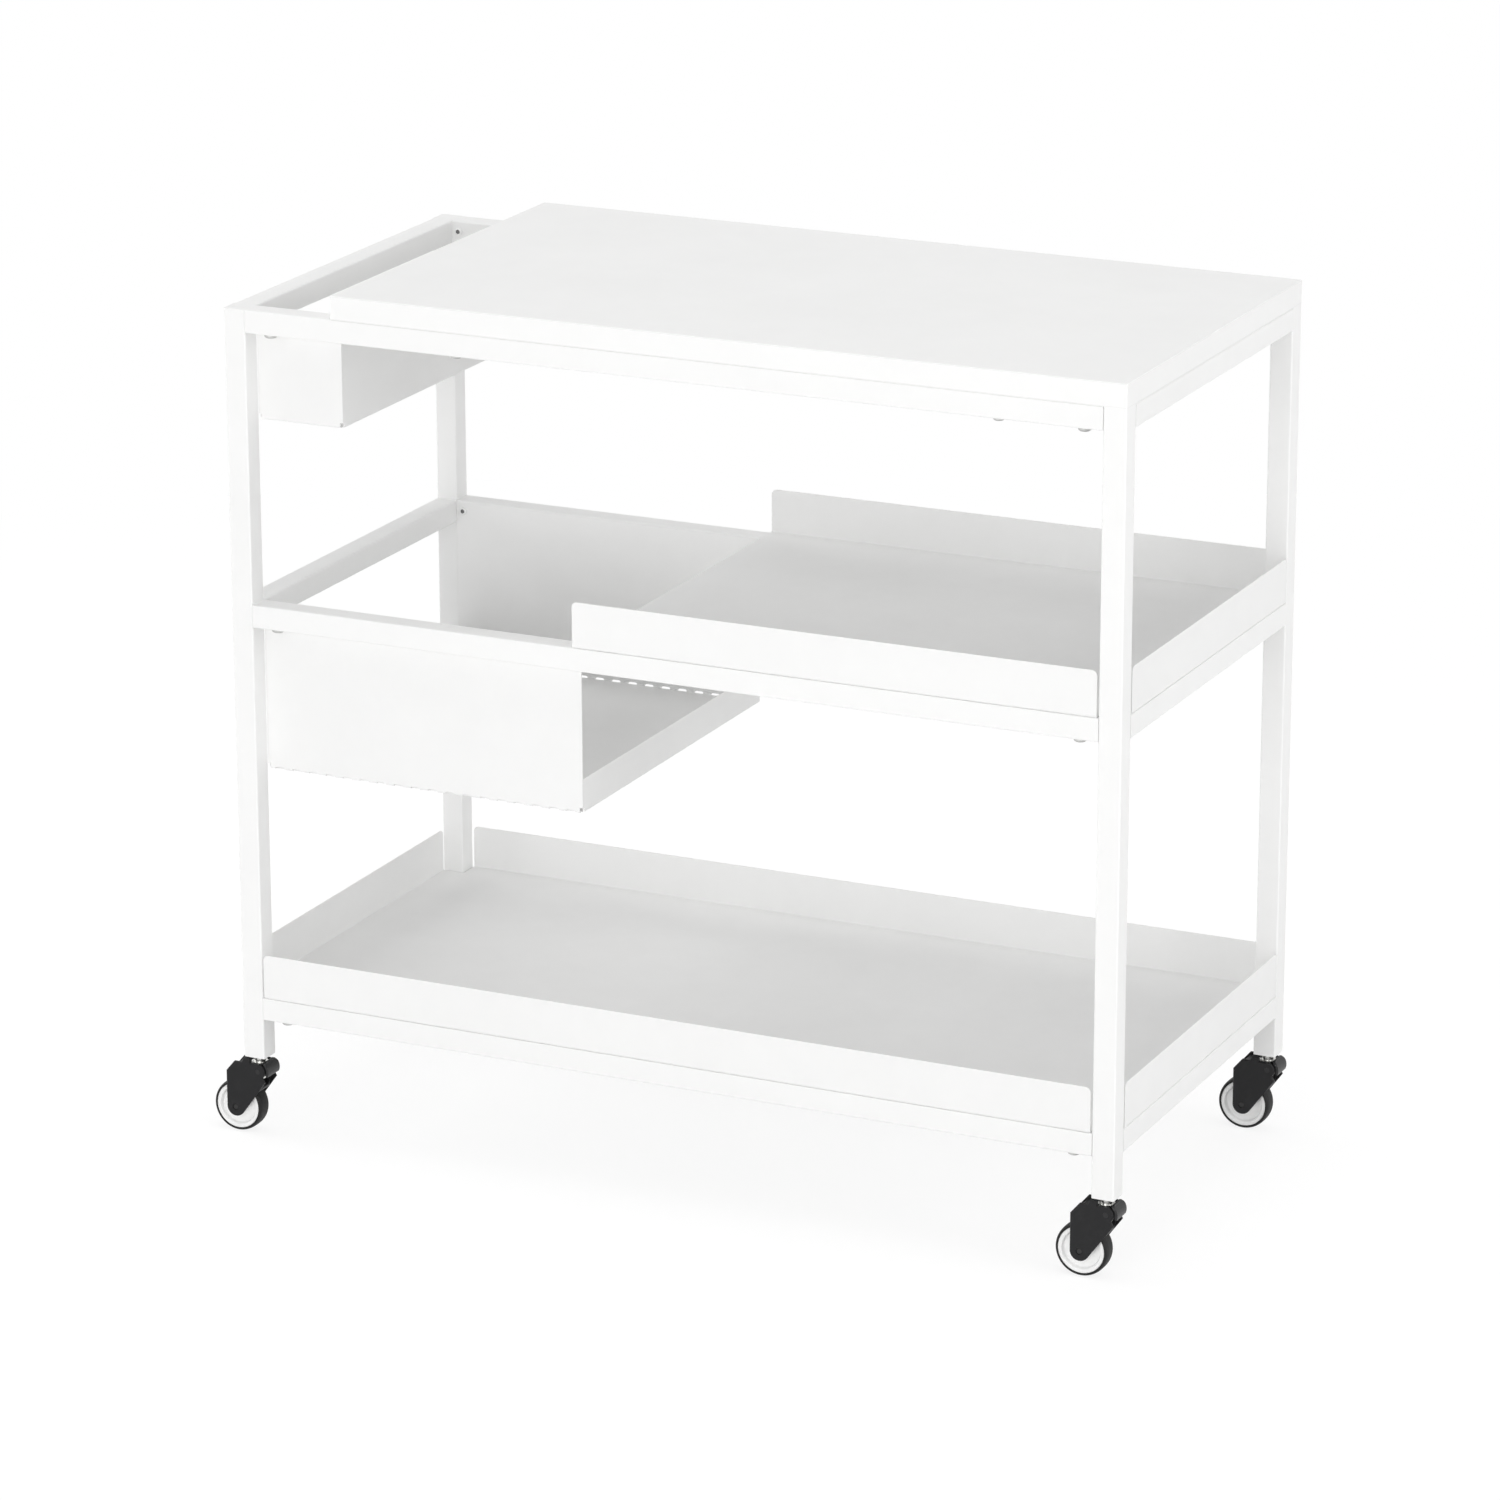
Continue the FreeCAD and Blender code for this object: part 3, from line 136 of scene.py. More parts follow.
class CartSizes(bpy.types.PropertyGroup):
    """The sizes of the pieces that are made here."""

    rail_screw_head: length("Rail screw head", "Head diameter of the screws under the rails", 12.4)
    rail_screw_height: length("Rail screw height", "Head height of the screws under the rails", 4.4)
    rail_screw_shank: length("Rail screw shank", "Shank diameter of the screws under the rails", 6.0)
    worktop_screw_head: length("Worktop screw head", "Head diameter of the worktop screws", 11.0)
    worktop_screw_height: length("Worktop screw height", "Head height of the worktop screws", 3.6)
    worktop_screw_shank: length("Worktop screw shank", "Shank diameter of the worktop screws", 5.0)
    bin_screw_head: length("Bin screw head", "Head diameter of the bin screws", 7.6)
    bin_screw_height: length("Bin screw height", "Head height of the bin screws", 2.4)
    bin_screw_shank: length("Bin screw shank", "Shank diameter of the bin screws", 3.6)
    bin_screw_bite: length("Bin screw bite", "Length of a bin screw behind its panel", 8.0)
    axle_bore: length("Axle bore", "Diameter of the bore of a wheel disc", 6.1)
    disc_hub: length("Disc hub", "Diameter of a wheel disc's hub", 14.4)
    disc_dish: length("Disc dish", "Outer diameter of the hollow in a wheel disc's side", 38.0)
    disc_rim: length("Disc rim", "Outer diameter of a wheel disc", 45.0)
    rim_width: length("Rim width", "Width of a wheel disc at its rim", 16.0)
    web_width: length("Web width", "Width of a wheel disc at the foot of its hollow", 8.8)
    tread_width: length("Tyre width", "Width of a tyre", 17.2)


class CartStudio(bpy.types.PropertyGroup):
    """The camera, the floor and the light."""

    yaw: angle("Camera yaw", "Turn of the camera to the left of +Y", 25.1876)
    pitch: angle("Camera pitch", "Tilt of the camera below the level", 17.5475)
    roll: angle("Camera roll", "Turn of the camera round its line of sight", -0.1095)
    lens: bpy.props.FloatProperty(
        name="Lens", description="Focal length of the camera in millimetres", default=150.025, unit="CAMERA"
    )
    place: bpy.props.FloatVectorProperty(
        name="Camera place",
        description="Where the camera stands",
        default=(2.3808, -5.0588, 2.1464),
        subtype="TRANSLATION",
    )
    ambient: bpy.props.FloatProperty(
        name="Ambient light", description="Strength of the light from all round", default=0.47, min=0
    )
    floor_size: bpy.props.FloatProperty(
        name="Floor size", description="Half the side of the floor", default=40.0, unit="LENGTH"
    )


# Nodes

def put(tree, kind, settings=None, **sockets):
    """A node in a tree: settings are its own options, sockets its inputs, by name or as in_0 and so on.

    An input that is given another node's output is linked, and any other is set to the value.
    """
    node = tree.nodes.new(kind)
    for key, value in (settings or {}).items():
        setattr(node, key, value)
    for key, value in sockets.items():
        socket = node.inputs[int(key[3:])] if key.startswith("in_") else node.inputs[key.replace("_", " ")]
        if isinstance(value, bpy.types.NodeSocket):
            tree.links.new(value, socket)
        else:
            socket.default_value = value
    return node


def calc(tree, operation, *values):
    """The output of one Math node."""
    inputs = {f"in_{index}": value for index, value in enumerate(values)}
    return put(tree, "ShaderNodeMath", {"operation": operation}, **inputs).outputs[0]


def noise(tree, place, scale, detail, rough):
    """The value of a noise texture, from 0 to 1."""
    node = put(tree, "ShaderNodeTexNoise", Vector=place, Scale=scale, Detail=detail, Roughness=rough)
    return node.outputs[0]


def remap(tree, value, low, high, start=0.0, end=1.0):
    """A value carried from low..high to start..end, held inside."""
    ends = {"From_Min": low, "From_Max": high, "To_Min": start, "To_Max": end}
    return put(tree, "ShaderNodeMapRange", {"clamp": True}, Value=value, **ends).outputs[0]


def blend_colours(tree, share, first, second):
    """The colour between two, by a share."""
    node = tree.nodes.new("ShaderNodeMix")
    node.data_type = "RGBA"
    for index, value in ((0, share), (6, first), (7, second)):
        if isinstance(value, bpy.types.NodeSocket):
            tree.links.new(value, node.inputs[index])
        else:
            node.inputs[index].default_value = value
    return node.outputs[2]


def shaded(tree, colour_socket, share, factor):
    """A colour darkened to a factor of itself, by a share."""
    dark = put(tree, "ShaderNodeHueSaturation", Value=factor, Color=colour_socket).outputs[0]
    return blend_colours(tree, share, colour_socket, dark)


def new_group(name, inputs, outputs):
    """An empty shader node group with named sockets, and its input and output nodes."""
    group = bpy.data.node_groups.new(name, "ShaderNodeTree")
    kinds = {"colour": "NodeSocketColor", "value": "NodeSocketFloat", "vector": "NodeSocketVector"}
    for label, kind, default in inputs:
        socket = group.interface.new_socket(name=label, in_out="INPUT", socket_type=kinds[kind])
        if default is not None:
            socket.default_value = default
    for label, kind in outputs:
        group.interface.new_socket(name=label, in_out="OUTPUT", socket_type=kinds[kind])
    return group, group.nodes.new("NodeGroupInput").outputs, group.nodes.new("NodeGroupOutput").inputs


def coat_skin():
    """Powder coat: the swell of orange peel, finer sand in it, sparse dust nibs and broad handling marks."""
    group, given, out = new_group(
        "coat_skin",
        [
            ("Color", "colour", (0.88, 0.88, 0.88, 1)),
            ("Place", "vector", None),
            ("Peel Scale", "value", 620.0),
            ("Roughness", "value", 0.42),
            ("Rub", "value", 0.06),
            ("Shade", "value", 0.97),
        ],
        [("Color", "colour"), ("Roughness", "value"), ("Height", "value")],
    )
    place = given["Place"]
    peel = noise(group, place, scale=given["Peel Scale"], detail=1.5, rough=0.4)
    sand_scale = calc(group, "MULTIPLY", given["Peel Scale"], 4.3)
    sand = noise(group, place, scale=sand_scale, detail=2.0, rough=0.55)
    rub = remap(group, noise(group, place, scale=7.0, detail=4.0, rough=0.62), 0.35, 0.7)
    wipe = remap(group, noise(group, place, scale=38.0, detail=3.0, rough=0.6), 0.3, 0.75)
    nib = put(group, "ShaderNodeTexVoronoi", {"feature": "F1"}, Vector=place, Scale=85.0).outputs["Distance"]
    nib = remap(group, nib, 0.03, 0.055, 1.0, 0.0)
    height = calc(group, "MULTIPLY_ADD", sand, 0.22, calc(group, "MULTIPLY", peel, 0.78))
    height = calc(group, "MULTIPLY_ADD", nib, 0.5, height)
    group.links.new(height, out["Height"])
    worn = calc(group, "MULTIPLY_ADD", rub, 0.6, calc(group, "MULTIPLY", wipe, 0.4))
    rough = calc(group, "MULTIPLY_ADD", calc(group, "SUBTRACT", worn, 0.5), given["Rub"], given["Roughness"])
    rough = calc(group, "MULTIPLY_ADD", calc(group, "SUBTRACT", sand, 0.5), 0.08, rough)
    group.links.new(rough, out["Roughness"])
    tone = shaded(group, given["Color"], worn, given["Shade"])
    group.links.new(tone, out["Color"])
    return group


def moulded_grain():
    """Spark-eroded grain of a plastic moulding, with paler rubs on it, and darker in the hollows of its
    grain.
    """
    group, given, out = new_group(
        "moulded_grain",
        [
            ("Color", "colour", (0.05, 0.05, 0.05, 1)),
            ("Rubbed", "colour", (0.09, 0.09, 0.09, 1)),
            ("Place", "vector", None),
            ("Grain Scale", "value", 1500.0),
            ("Roughness", "value", 0.5),
            ("Rub", "value", 0.4),
            ("Hollow Shade", "value", 0.8),
        ],
        [("Color", "colour"), ("Roughness", "value"), ("Height", "value")],
    )
    place = given["Place"]
    scale, smooth = given["Grain Scale"], {"feature": "SMOOTH_F1"}
    cells = put(group, "ShaderNodeTexVoronoi", smooth, Vector=place, Scale=scale, Smoothness=0.6)
    cells = cells.outputs["Distance"]
    fine_scale = calc(group, "MULTIPLY", scale, 2.2)
    fine = noise(group, place, scale=fine_scale, detail=2.0, rough=0.5)
    height = calc(group, "MULTIPLY_ADD", fine, 0.35, calc(group, "MULTIPLY", cells, 0.65))
    group.links.new(height, out["Height"])
    patches = remap(group, noise(group, place, scale=120.0, detail=4.0, rough=0.65), 0.45, 0.75)
    flow = remap(group, noise(group, place, scale=28.0, detail=3.0, rough=0.55), 0.3, 0.8)
    rubbed = calc(group, "MULTIPLY", calc(group, "MULTIPLY", patches, flow), given["Rub"])
    # Darker towards the hollows of the grain cells, down to the Hollow Shade factor.
    speck = remap(group, cells, 0.0, 0.9, given["Hollow Shade"], 1.0)
    tone = blend_colours(group, rubbed, given["Color"], given["Rubbed"])
    tone = put(group, "ShaderNodeHueSaturation", Value=speck, Color=tone).outputs[0]
    group.links.new(tone, out["Color"])
    rough = calc(group, "MULTIPLY_ADD", flow, 0.1, given["Roughness"])
    rough = calc(group, "MULTIPLY_ADD", rubbed, -0.12, rough)
    group.links.new(rough, out["Roughness"])
    return group


def plated_skin():
    """Zinc plate: mottled crystals, a dull bloom and turned rings along one direction of the place given."""
    group, given, out = new_group(
        "plated_skin",
        [
            ("Color", "colour", (0.66, 0.66, 0.64, 1)),
            ("Place", "vector", None),
            ("Rings", "value", 0.0),
            ("Ring Scale", "value", 900.0),
            ("Roughness", "value", 0.3),
        ],
        [("Color", "colour"), ("Roughness", "value"), ("Height", "value")],
    )
    place = given["Place"]
    crystals = put(group, "ShaderNodeTexVoronoi", {"feature": "F1"}, Vector=place, Scale=420.0)
    mottle = put(group, "ShaderNodeSeparateColor", Color=crystals.outputs["Color"]).outputs[0]
    bloom = remap(group, noise(group, place, scale=90.0, detail=4.0, rough=0.6), 0.4, 0.7)
    rings = calc(group, "SINE", calc(group, "MULTIPLY", given["Rings"], given["Ring Scale"]))
    height = calc(group, "MULTIPLY_ADD", mottle, 0.3, calc(group, "MULTIPLY", rings, 0.35))
    group.links.new(height, out["Height"])
    tone = shaded(group, given["Color"], calc(group, "MULTIPLY", mottle, bloom), 0.82)
    group.links.new(tone, out["Color"])
    rough = calc(group, "MULTIPLY_ADD", bloom, 0.16, given["Roughness"])
    rough = calc(group, "MULTIPLY_ADD", mottle, 0.05, rough)
    group.links.new(rough, out["Roughness"])
    return group


def ready(make):
    """A node group, made the first time that it is asked for."""
    return bpy.data.node_groups.get(make.__name__) or make()


def object_axis(tree, axis):
    """One axis of Object coordinates: 0 for X, 1 for Y and 2 for Z."""
    place = put(tree, "ShaderNodeTexCoord").outputs["Object"]
    return put(tree, "ShaderNodeSeparateXYZ", Vector=place).outputs[axis]


def profile_length(tree):
    """The length along the profile of a new piece, from the piece's own map."""
    spot = put(tree, "ShaderNodeUVMap", {"uv_map": MAP_NAME}).outputs[0]
    return put(tree, "ShaderNodeSeparateXYZ", Vector=spot).outputs[1]


def skin_material(name, group, bump, distance, fixed, **given):
    """A material whose colour, roughness and bump come from one node group on Object coordinates.

    Its bump has the strength and distance given, fixed holds values for the shader's own sockets, and given
    the group's inputs. Gives the material, its node tree, the group's node and the shader.
    """
    material = bpy.data.materials.new(name)
    material.use_nodes = True
    tree = material.node_tree
    shader = tree.nodes["Principled BSDF"]
    place = put(tree, "ShaderNodeTexCoord").outputs["Object"]
    skin = tree.nodes.new("ShaderNodeGroup")
    skin.node_tree = group
    tree.links.new(place, skin.inputs["Place"])
    for key, value in given.items():
        skin.inputs[key.replace("_", " ")].default_value = value
    tree.links.new(skin.outputs["Color"], shader.inputs["Base Color"])
    tree.links.new(skin.outputs["Roughness"], shader.inputs["Roughness"])
    height = skin.outputs["Height"]
    relief = put(tree, "ShaderNodeBump", Strength=bump, Distance=distance, Height=height)
    tree.links.new(relief.outputs["Normal"], shader.inputs["Normal"])
    for key, value in fixed.items():
        shader.inputs[key].default_value = value
    material.diffuse_color = tuple(given["Color"])
    return material, tree, skin, shader


def opaque(rgb):
    """A colour with full alpha."""
    return (*rgb, 1.0)


def cover(nodes, material):
    """Gives a material to every slot of some of the frame's own objects."""
    for name in nodes:
        for slot in frame["nodes"][name].material_slots:
            slot.material = material


# Surfaces

def corners_of(profile, closed):
    """Index pairs of the profile's neighbouring points."""
    count = len(profile)
    first = np.arange(count if closed else count - 1)
    return first, (first + 1) % count


def turned(profile, closed, around, hexagon=None):
    """A surface turned round the Z axis.

    The point at profile step s and angle t is (r cos t, r sin t, a), where the profile gives a and r at s.
    Where hexagon gives a share h, r is multiplied by 1 - h + h / cos(((t + 30) mod 60) - 30) with t in
    degrees, which draws a circle out to the hexagon round it. A profile that isn't closed starts and ends
    on the axis, at one point each. Gives points, quads, triangles, and the place of each face's corners as
    (length round, length along) for a map.
    """
    theta = np.arange(around) * 2 * np.pi / around
    along, radius = profile[:, 0], profile[:, 1]
    share = np.zeros(len(profile)) if hexagon is None else hexagon
    sixth = np.cos(np.mod(theta + np.pi / 6, np.pi / 3) - np.pi / 6)
    reach = radius[:, None] * (1 - share[:, None] + share[:, None] / sixth[None, :])
    points = np.stack(
        [reach * np.cos(theta), reach * np.sin(theta), np.broadcast_to(along[:, None], reach.shape)], axis=-1
    )
    steps = np.hypot(np.diff(along, append=along[:1]), np.diff(radius, append=radius[:1]))
    travel = np.concatenate([[0.0], np.cumsum(steps)])
    inner = np.arange(len(profile)) if closed else np.arange(1, len(profile) - 1)
    rows, next_rows = corners_of(inner, closed)
    columns, next_columns = np.arange(around), (np.arange(around) + 1) % around
    if closed:
        points = points.reshape(-1, 3)
        shift = 0
    else:
        poles = points[[0, -1], 0]
        points = np.concatenate([points[1:-1].reshape(-1, 3), poles])
        shift = 1
    low, high = rows[:, None] * around, next_rows[:, None] * around
    quads = np.stack([low + columns, low + next_columns, high + next_columns, high + columns], axis=-1)
    width = 2 * np.pi * float(radius.max()) / around
    u = np.stack([columns, columns + 1, columns + 1, columns], axis=-1) * width
    v_low = travel[rows + shift][:, None, None]
    v_high = travel[rows + shift + 1][:, None, None]
    quad_map = np.stack(
        [
            np.broadcast_to(u, (len(rows), around, 4)),
            np.concatenate([v_low, v_low, v_high, v_high], axis=-1) * np.ones((1, around, 1)),
        ],
        axis=-1,
    )
    if closed:
        return points, quads.reshape(-1, 4), np.zeros((0, 3), int), quad_map.reshape(-1, 2)
    last = (len(profile) - 3) * around
    start, end = len(points) - 2, len(points) - 1
    first_fan = np.stack([np.full(around, start), next_columns, columns], axis=-1)
    last_fan = np.stack([np.full(around, end), last + columns, last + next_columns], axis=-1)
    third = np.stack([columns + 0.5, columns + 1, columns], axis=-1) * width
    first_map = np.stack([third, np.tile([travel[0], travel[1], travel[1]], (around, 1))], axis=-1)
    third = np.stack([columns + 0.5, columns, columns + 1], axis=-1) * width
    ends = [travel[len(profile) - 1], travel[len(profile) - 2], travel[len(profile) - 2]]
    last_map = np.stack([third, np.tile(ends, (around, 1))], axis=-1)
    fans = np.concatenate([first_fan, last_fan])
    fan_map = np.concatenate([first_map.reshape(-1, 2), last_map.reshape(-1, 2)])
    return points, quads.reshape(-1, 4), fans, np.concatenate([quad_map.reshape(-1, 2), fan_map])


def outward(points, quads, triangles):
    """Whether a closed surface's faces point outwards, from the sign of its volume."""
    fans = np.concatenate([quads[:, [0, 1, 2]], quads[:, [0, 2, 3]], triangles])
    a, b, c = points[fans[:, 0]], points[fans[:, 1]], points[fans[:, 2]]
    return np.einsum("ij,ij->i", a, np.cross(b, c)).sum() > 0


def new_piece(name, shells, material, body, replaced, sharp=35.0):
    """One object from shells of (points, quads, triangles, map), with its place in its mesh."""
    points, loops, sizes, maps = [], [], [], []
    offset = 0
    for spots, quads, triangles, face_map in shells:
        quad_map, fan_map = face_map[: 4 * len(quads)], face_map[4 * len(quads):]
        quad_map, fan_map = quad_map.reshape(-1, 4, 2), fan_map.reshape(-1, 3, 2)
        if not outward(spots, quads, triangles):
            quads, triangles = quads[:, ::-1], triangles[:, ::-1]
            quad_map, fan_map = quad_map[:, ::-1], fan_map[:, ::-1]
        points.append(spots)
        loops += [(quads + offset).ravel(), (triangles + offset).ravel()]
        sizes += [np.full(len(quads), 4), np.full(len(triangles), 3)]
        maps += [quad_map.reshape(-1, 2), fan_map.reshape(-1, 2)]
        offset += len(spots)
    points, loops, sizes = np.concatenate(points), np.concatenate(loops), np.concatenate(sizes)
    starts = np.concatenate([[0], np.cumsum(sizes)[:-1]])
    mesh = bpy.data.meshes.new(name)
    mesh.vertices.add(len(points))
    mesh.vertices.foreach_set("co", points.astype(np.float32).ravel())
    mesh.loops.add(len(loops))
    mesh.loops.foreach_set("vertex_index", loops.astype(np.int32))
    mesh.polygons.add(len(sizes))
    mesh.polygons.foreach_set("loop_start", starts.astype(np.int32))
    mesh.update(calc_edges=True)
    layer = mesh.uv_layers.new(name=MAP_NAME)
    layer.data.foreach_set("uv", np.concatenate(maps).astype(np.float32).ravel())
    mesh.polygons.foreach_set("use_smooth", np.ones(len(sizes), bool))
    mesh.set_sharp_from_angle(angle=math.radians(sharp))
    mesh.materials.append(material)
    if mesh.validate():
        raise RuntimeError(f"{name} has faulty faces")
    piece = bpy.data.objects.new(name, mesh)
    bpy.context.scene.collection.objects.link(piece)
    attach(piece, body)
    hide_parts(replaced)
    return piece


def pan_screw(head, head_height, shank, reach):
    """A pan-head screw with a hexagon socket, turned round Z, its head's underside at 0 and its shank up.

    The profile runs from the socket's floor on the axis, up the socket's side, over a domed head whose
    height falls by the square of the distance past the socket, down its rim, and along the shank. The
    socket's steps carry the hexagon share 1 and the others 0.
    """
    socket = head * SOCKET_SHARE
    floor = -head_height * SOCKET_FLOOR
    t = np.linspace(0, 1, 9)
    dome_start, dome_end = socket * 1.12, head / 2 * 0.94
    dome_radius = dome_start + (dome_end - dome_start) * t
    dome = np.stack([-head_height * (1 - 0.3 * t ** 2), dome_radius], axis=-1)
    inside = np.array([[floor, 0], [floor, socket * 0.97], [-head_height * SOCKET_MOUTH, socket]])
    lead = shank * 0.12
    rest = np.array(
        [
            [-head_height * 0.55, head / 2],
            [-head_height * 0.08, head / 2],
            [0, head / 2 * 0.97],
            [0, shank / 2],
            [reach - lead, shank / 2],
            [reach, shank / 2 - lead],
            [reach, 0],
        ]
    )
    profile = np.concatenate([inside, dome, rest])
    share = np.zeros(len(profile))
    share[1:3] = 1.0
    return turned(profile, False, 48, share)


def moved(shell, matrix):
    """A shell carried by a matrix."""
    points, quads, triangles, face_map = shell
    turn, shift = np.array(matrix.to_3x3()), np.array(matrix.to_translation())
    return points @ turn.T + shift, quads, triangles, face_map


# Operators

class CART_OT_coat_frame(bpy.types.Operator):
    """Powder coats the posts, the rails and their spigots"""

    bl_idname = "cart.coat_frame"
    bl_label = "Coat the frame"

    def execute(self, context):
        """Gives the tube's coat to every piece of the frame."""
        coat = skin_material(
            "white_coat_on_tube",
            ready(coat_skin),
            bump=0.16,
            distance=0.0004,
            fixed={"Specular IOR Level": 0.34},
            Color=opaque(context.scene.cart_colours.tube_coat),
            Peel_Scale=620.0,
            Roughness=0.44,
            Rub=0.10,
            Shade=0.975,
        )[0]
        tubes = [n for n in frame["nodes"] if n.startswith("post_") or "_rail_" in n and "screws" not in n]
        cover(tubes + [f"{level}_spigots" for level in LEVELS], coat)
        return {"FINISHED"}


class CART_OT_coat_trays(bpy.types.Operator):
    """Powder coats the two trays and the two bins"""

    bl_idname = "cart.coat_trays"
    bl_label = "Coat the trays and bins"

    def execute(self, context):
        """Gives the sheet's coat, which lies smoother than the tube's, to the folded pieces."""
        coat = skin_material(
            "white_coat_on_sheet",
            ready(coat_skin),
            bump=0.12,
            distance=0.0004,
            fixed={"Specular IOR Level": 0.3},
            Color=opaque(context.scene.cart_colours.sheet_coat),
            Peel_Scale=760.0,
            Roughness=0.48,
            Rub=0.12,
            Shade=0.97,
        )[0]
        cover(["low_tray", "middle_tray", "small_bin", "large_bin"], coat)
        return {"FINISHED"}


class CART_OT_finish_worktop(bpy.types.Operator):
    """Lays the laminate and its edge band on the worktop"""

    bl_idname = "cart.finish_worktop"
    bl_label = "Finish the worktop"

    def execute(self, context):
        """A matt laminate, with the fine joint of the edge band round its upper and lower edges."""
        colours = context.scene.cart_colours
        laminate, tree, skin, shader = skin_material(
            "white_laminate",
            ready(coat_skin),
            bump=0.08,
            distance=0.0003,
            fixed={"Specular IOR Level": 0.34},
            Color=opaque(colours.worktop),
            Peel_Scale=1900.0,
            Roughness=0.5,
            Rub=0.14,
            Shade=0.98,
        )
        low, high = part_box("worktop")
        level = object_axis(tree, 2)
        under_top, over_foot = 0.9 * MM, 0.5 * MM
        line_core, line_end, line_share = 0.08 * MM, 0.16 * MM, 0.55
        joint = None
        for height in (high.z - under_top, low.z + over_foot):
            away = calc(tree, "ABSOLUTE", calc(tree, "SUBTRACT", level, height))
            line = remap(tree, away, line_core, line_end, 1.0, 0.0)
            joint = line if joint is None else calc(tree, "MAXIMUM", joint, line)
        joint = calc(tree, "MULTIPLY", joint, line_share)
        tone = blend_colours(tree, joint, skin.outputs["Color"], opaque(colours.edge_band))
        tree.links.new(tone, shader.inputs["Base Color"])
        cover(["worktop"], laminate)
        return {"FINISHED"}


class CART_OT_fit_screws(bpy.types.Operator):
    """Makes the pan-head screws under the rails, under the worktop and in the bins"""

    bl_idname = "cart.fit_screws"
    bl_label = "Fit the screws"

    def execute(self, context):
        """Four screws for each of the frame's groups of screws, on the same axes."""
        sizes = context.scene.cart_sizes
        steel = skin_material(
            "plated_screw_steel",
            ready(plated_skin),
            bump=0.12,
            distance=0.0002,
            fixed={"Metallic": 0.9, "Specular IOR Level": 0.5},
            Color=opaque(context.scene.cart_colours.screw),
            Roughness=0.36,
        )[0]
        under_rail = (sizes.rail_screw_head, sizes.rail_screw_height, sizes.rail_screw_shank)
        under_top = (sizes.worktop_screw_head, sizes.worktop_screw_height, sizes.worktop_screw_shank)
        groups = {f"{level}_rail_screws": under_rail for level in LEVELS}
        groups["worktop_screws"] = under_top
        for node, (head, height, shank) in groups.items():
            low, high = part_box(node)
            screw = pan_screw(head, height, shank, high.z - low.z - height)
            xs, ys = (low.x + head / 2, high.x - head / 2), (low.y + head / 2, high.y - head / 2)
            shells = [moved(screw, Matrix.Translation((x, y, low.z + height))) for x in xs for y in ys]
            new_piece(f"{node}_pan_heads", shells, steel, "cart", node)
        coated, tree, skin, shader = skin_material(
            "white_coated_screw",
            ready(coat_skin),
            bump=0.12,
            distance=0.0002,
            fixed={"Specular IOR Level": 0.5},
            Color=opaque(context.scene.cart_colours.sheet_coat),
            Peel_Scale=900.0,
            Roughness=0.4,
            Rub=0.1,
            Shade=0.94,
        )
        head, height, bite = sizes.bin_screw_head, sizes.bin_screw_height, sizes.bin_screw_bite
        # Painted shade: inside the socket's mouth the coated screw's colour turns to a dark grey that stands
        # in for the shade in the hexagon socket.
        mouth = head * SOCKET_SHARE + height * (SOCKET_MOUTH - SOCKET_FLOOR)
        dark_end, pale_start = mouth - 0.3 * MM, mouth - 0.1 * MM
        inside = remap(tree, profile_length(tree), dark_end, pale_start, 1.0, 0.0)
        dark = opaque(context.scene.cart_colours.screw_socket)
        tone = blend_colours(tree, inside, skin.outputs["Color"], dark)
        tree.links.new(tone, shader.inputs["Base Color"])
        screw = pan_screw(head, height, sizes.bin_screw_shank, bite)
        for node in ("small_bin_screws", "large_bin_screws"):
            low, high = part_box(node)
            shells = []
            for x in (low.x + head / 2, high.x - head / 2):
                for side, y in ((-1, low.y + bite), (1, high.y - bite)):
                    tilt = Matrix.Rotation(math.radians(-90 * side), 4, "X")
                    shells.append(moved(screw, Matrix.Translation((x, y, (low.z + high.z) / 2)) @ tilt))
            new_piece(f"{node}_pan_heads", shells, coated, "cart", node)
        return {"FINISHED"}


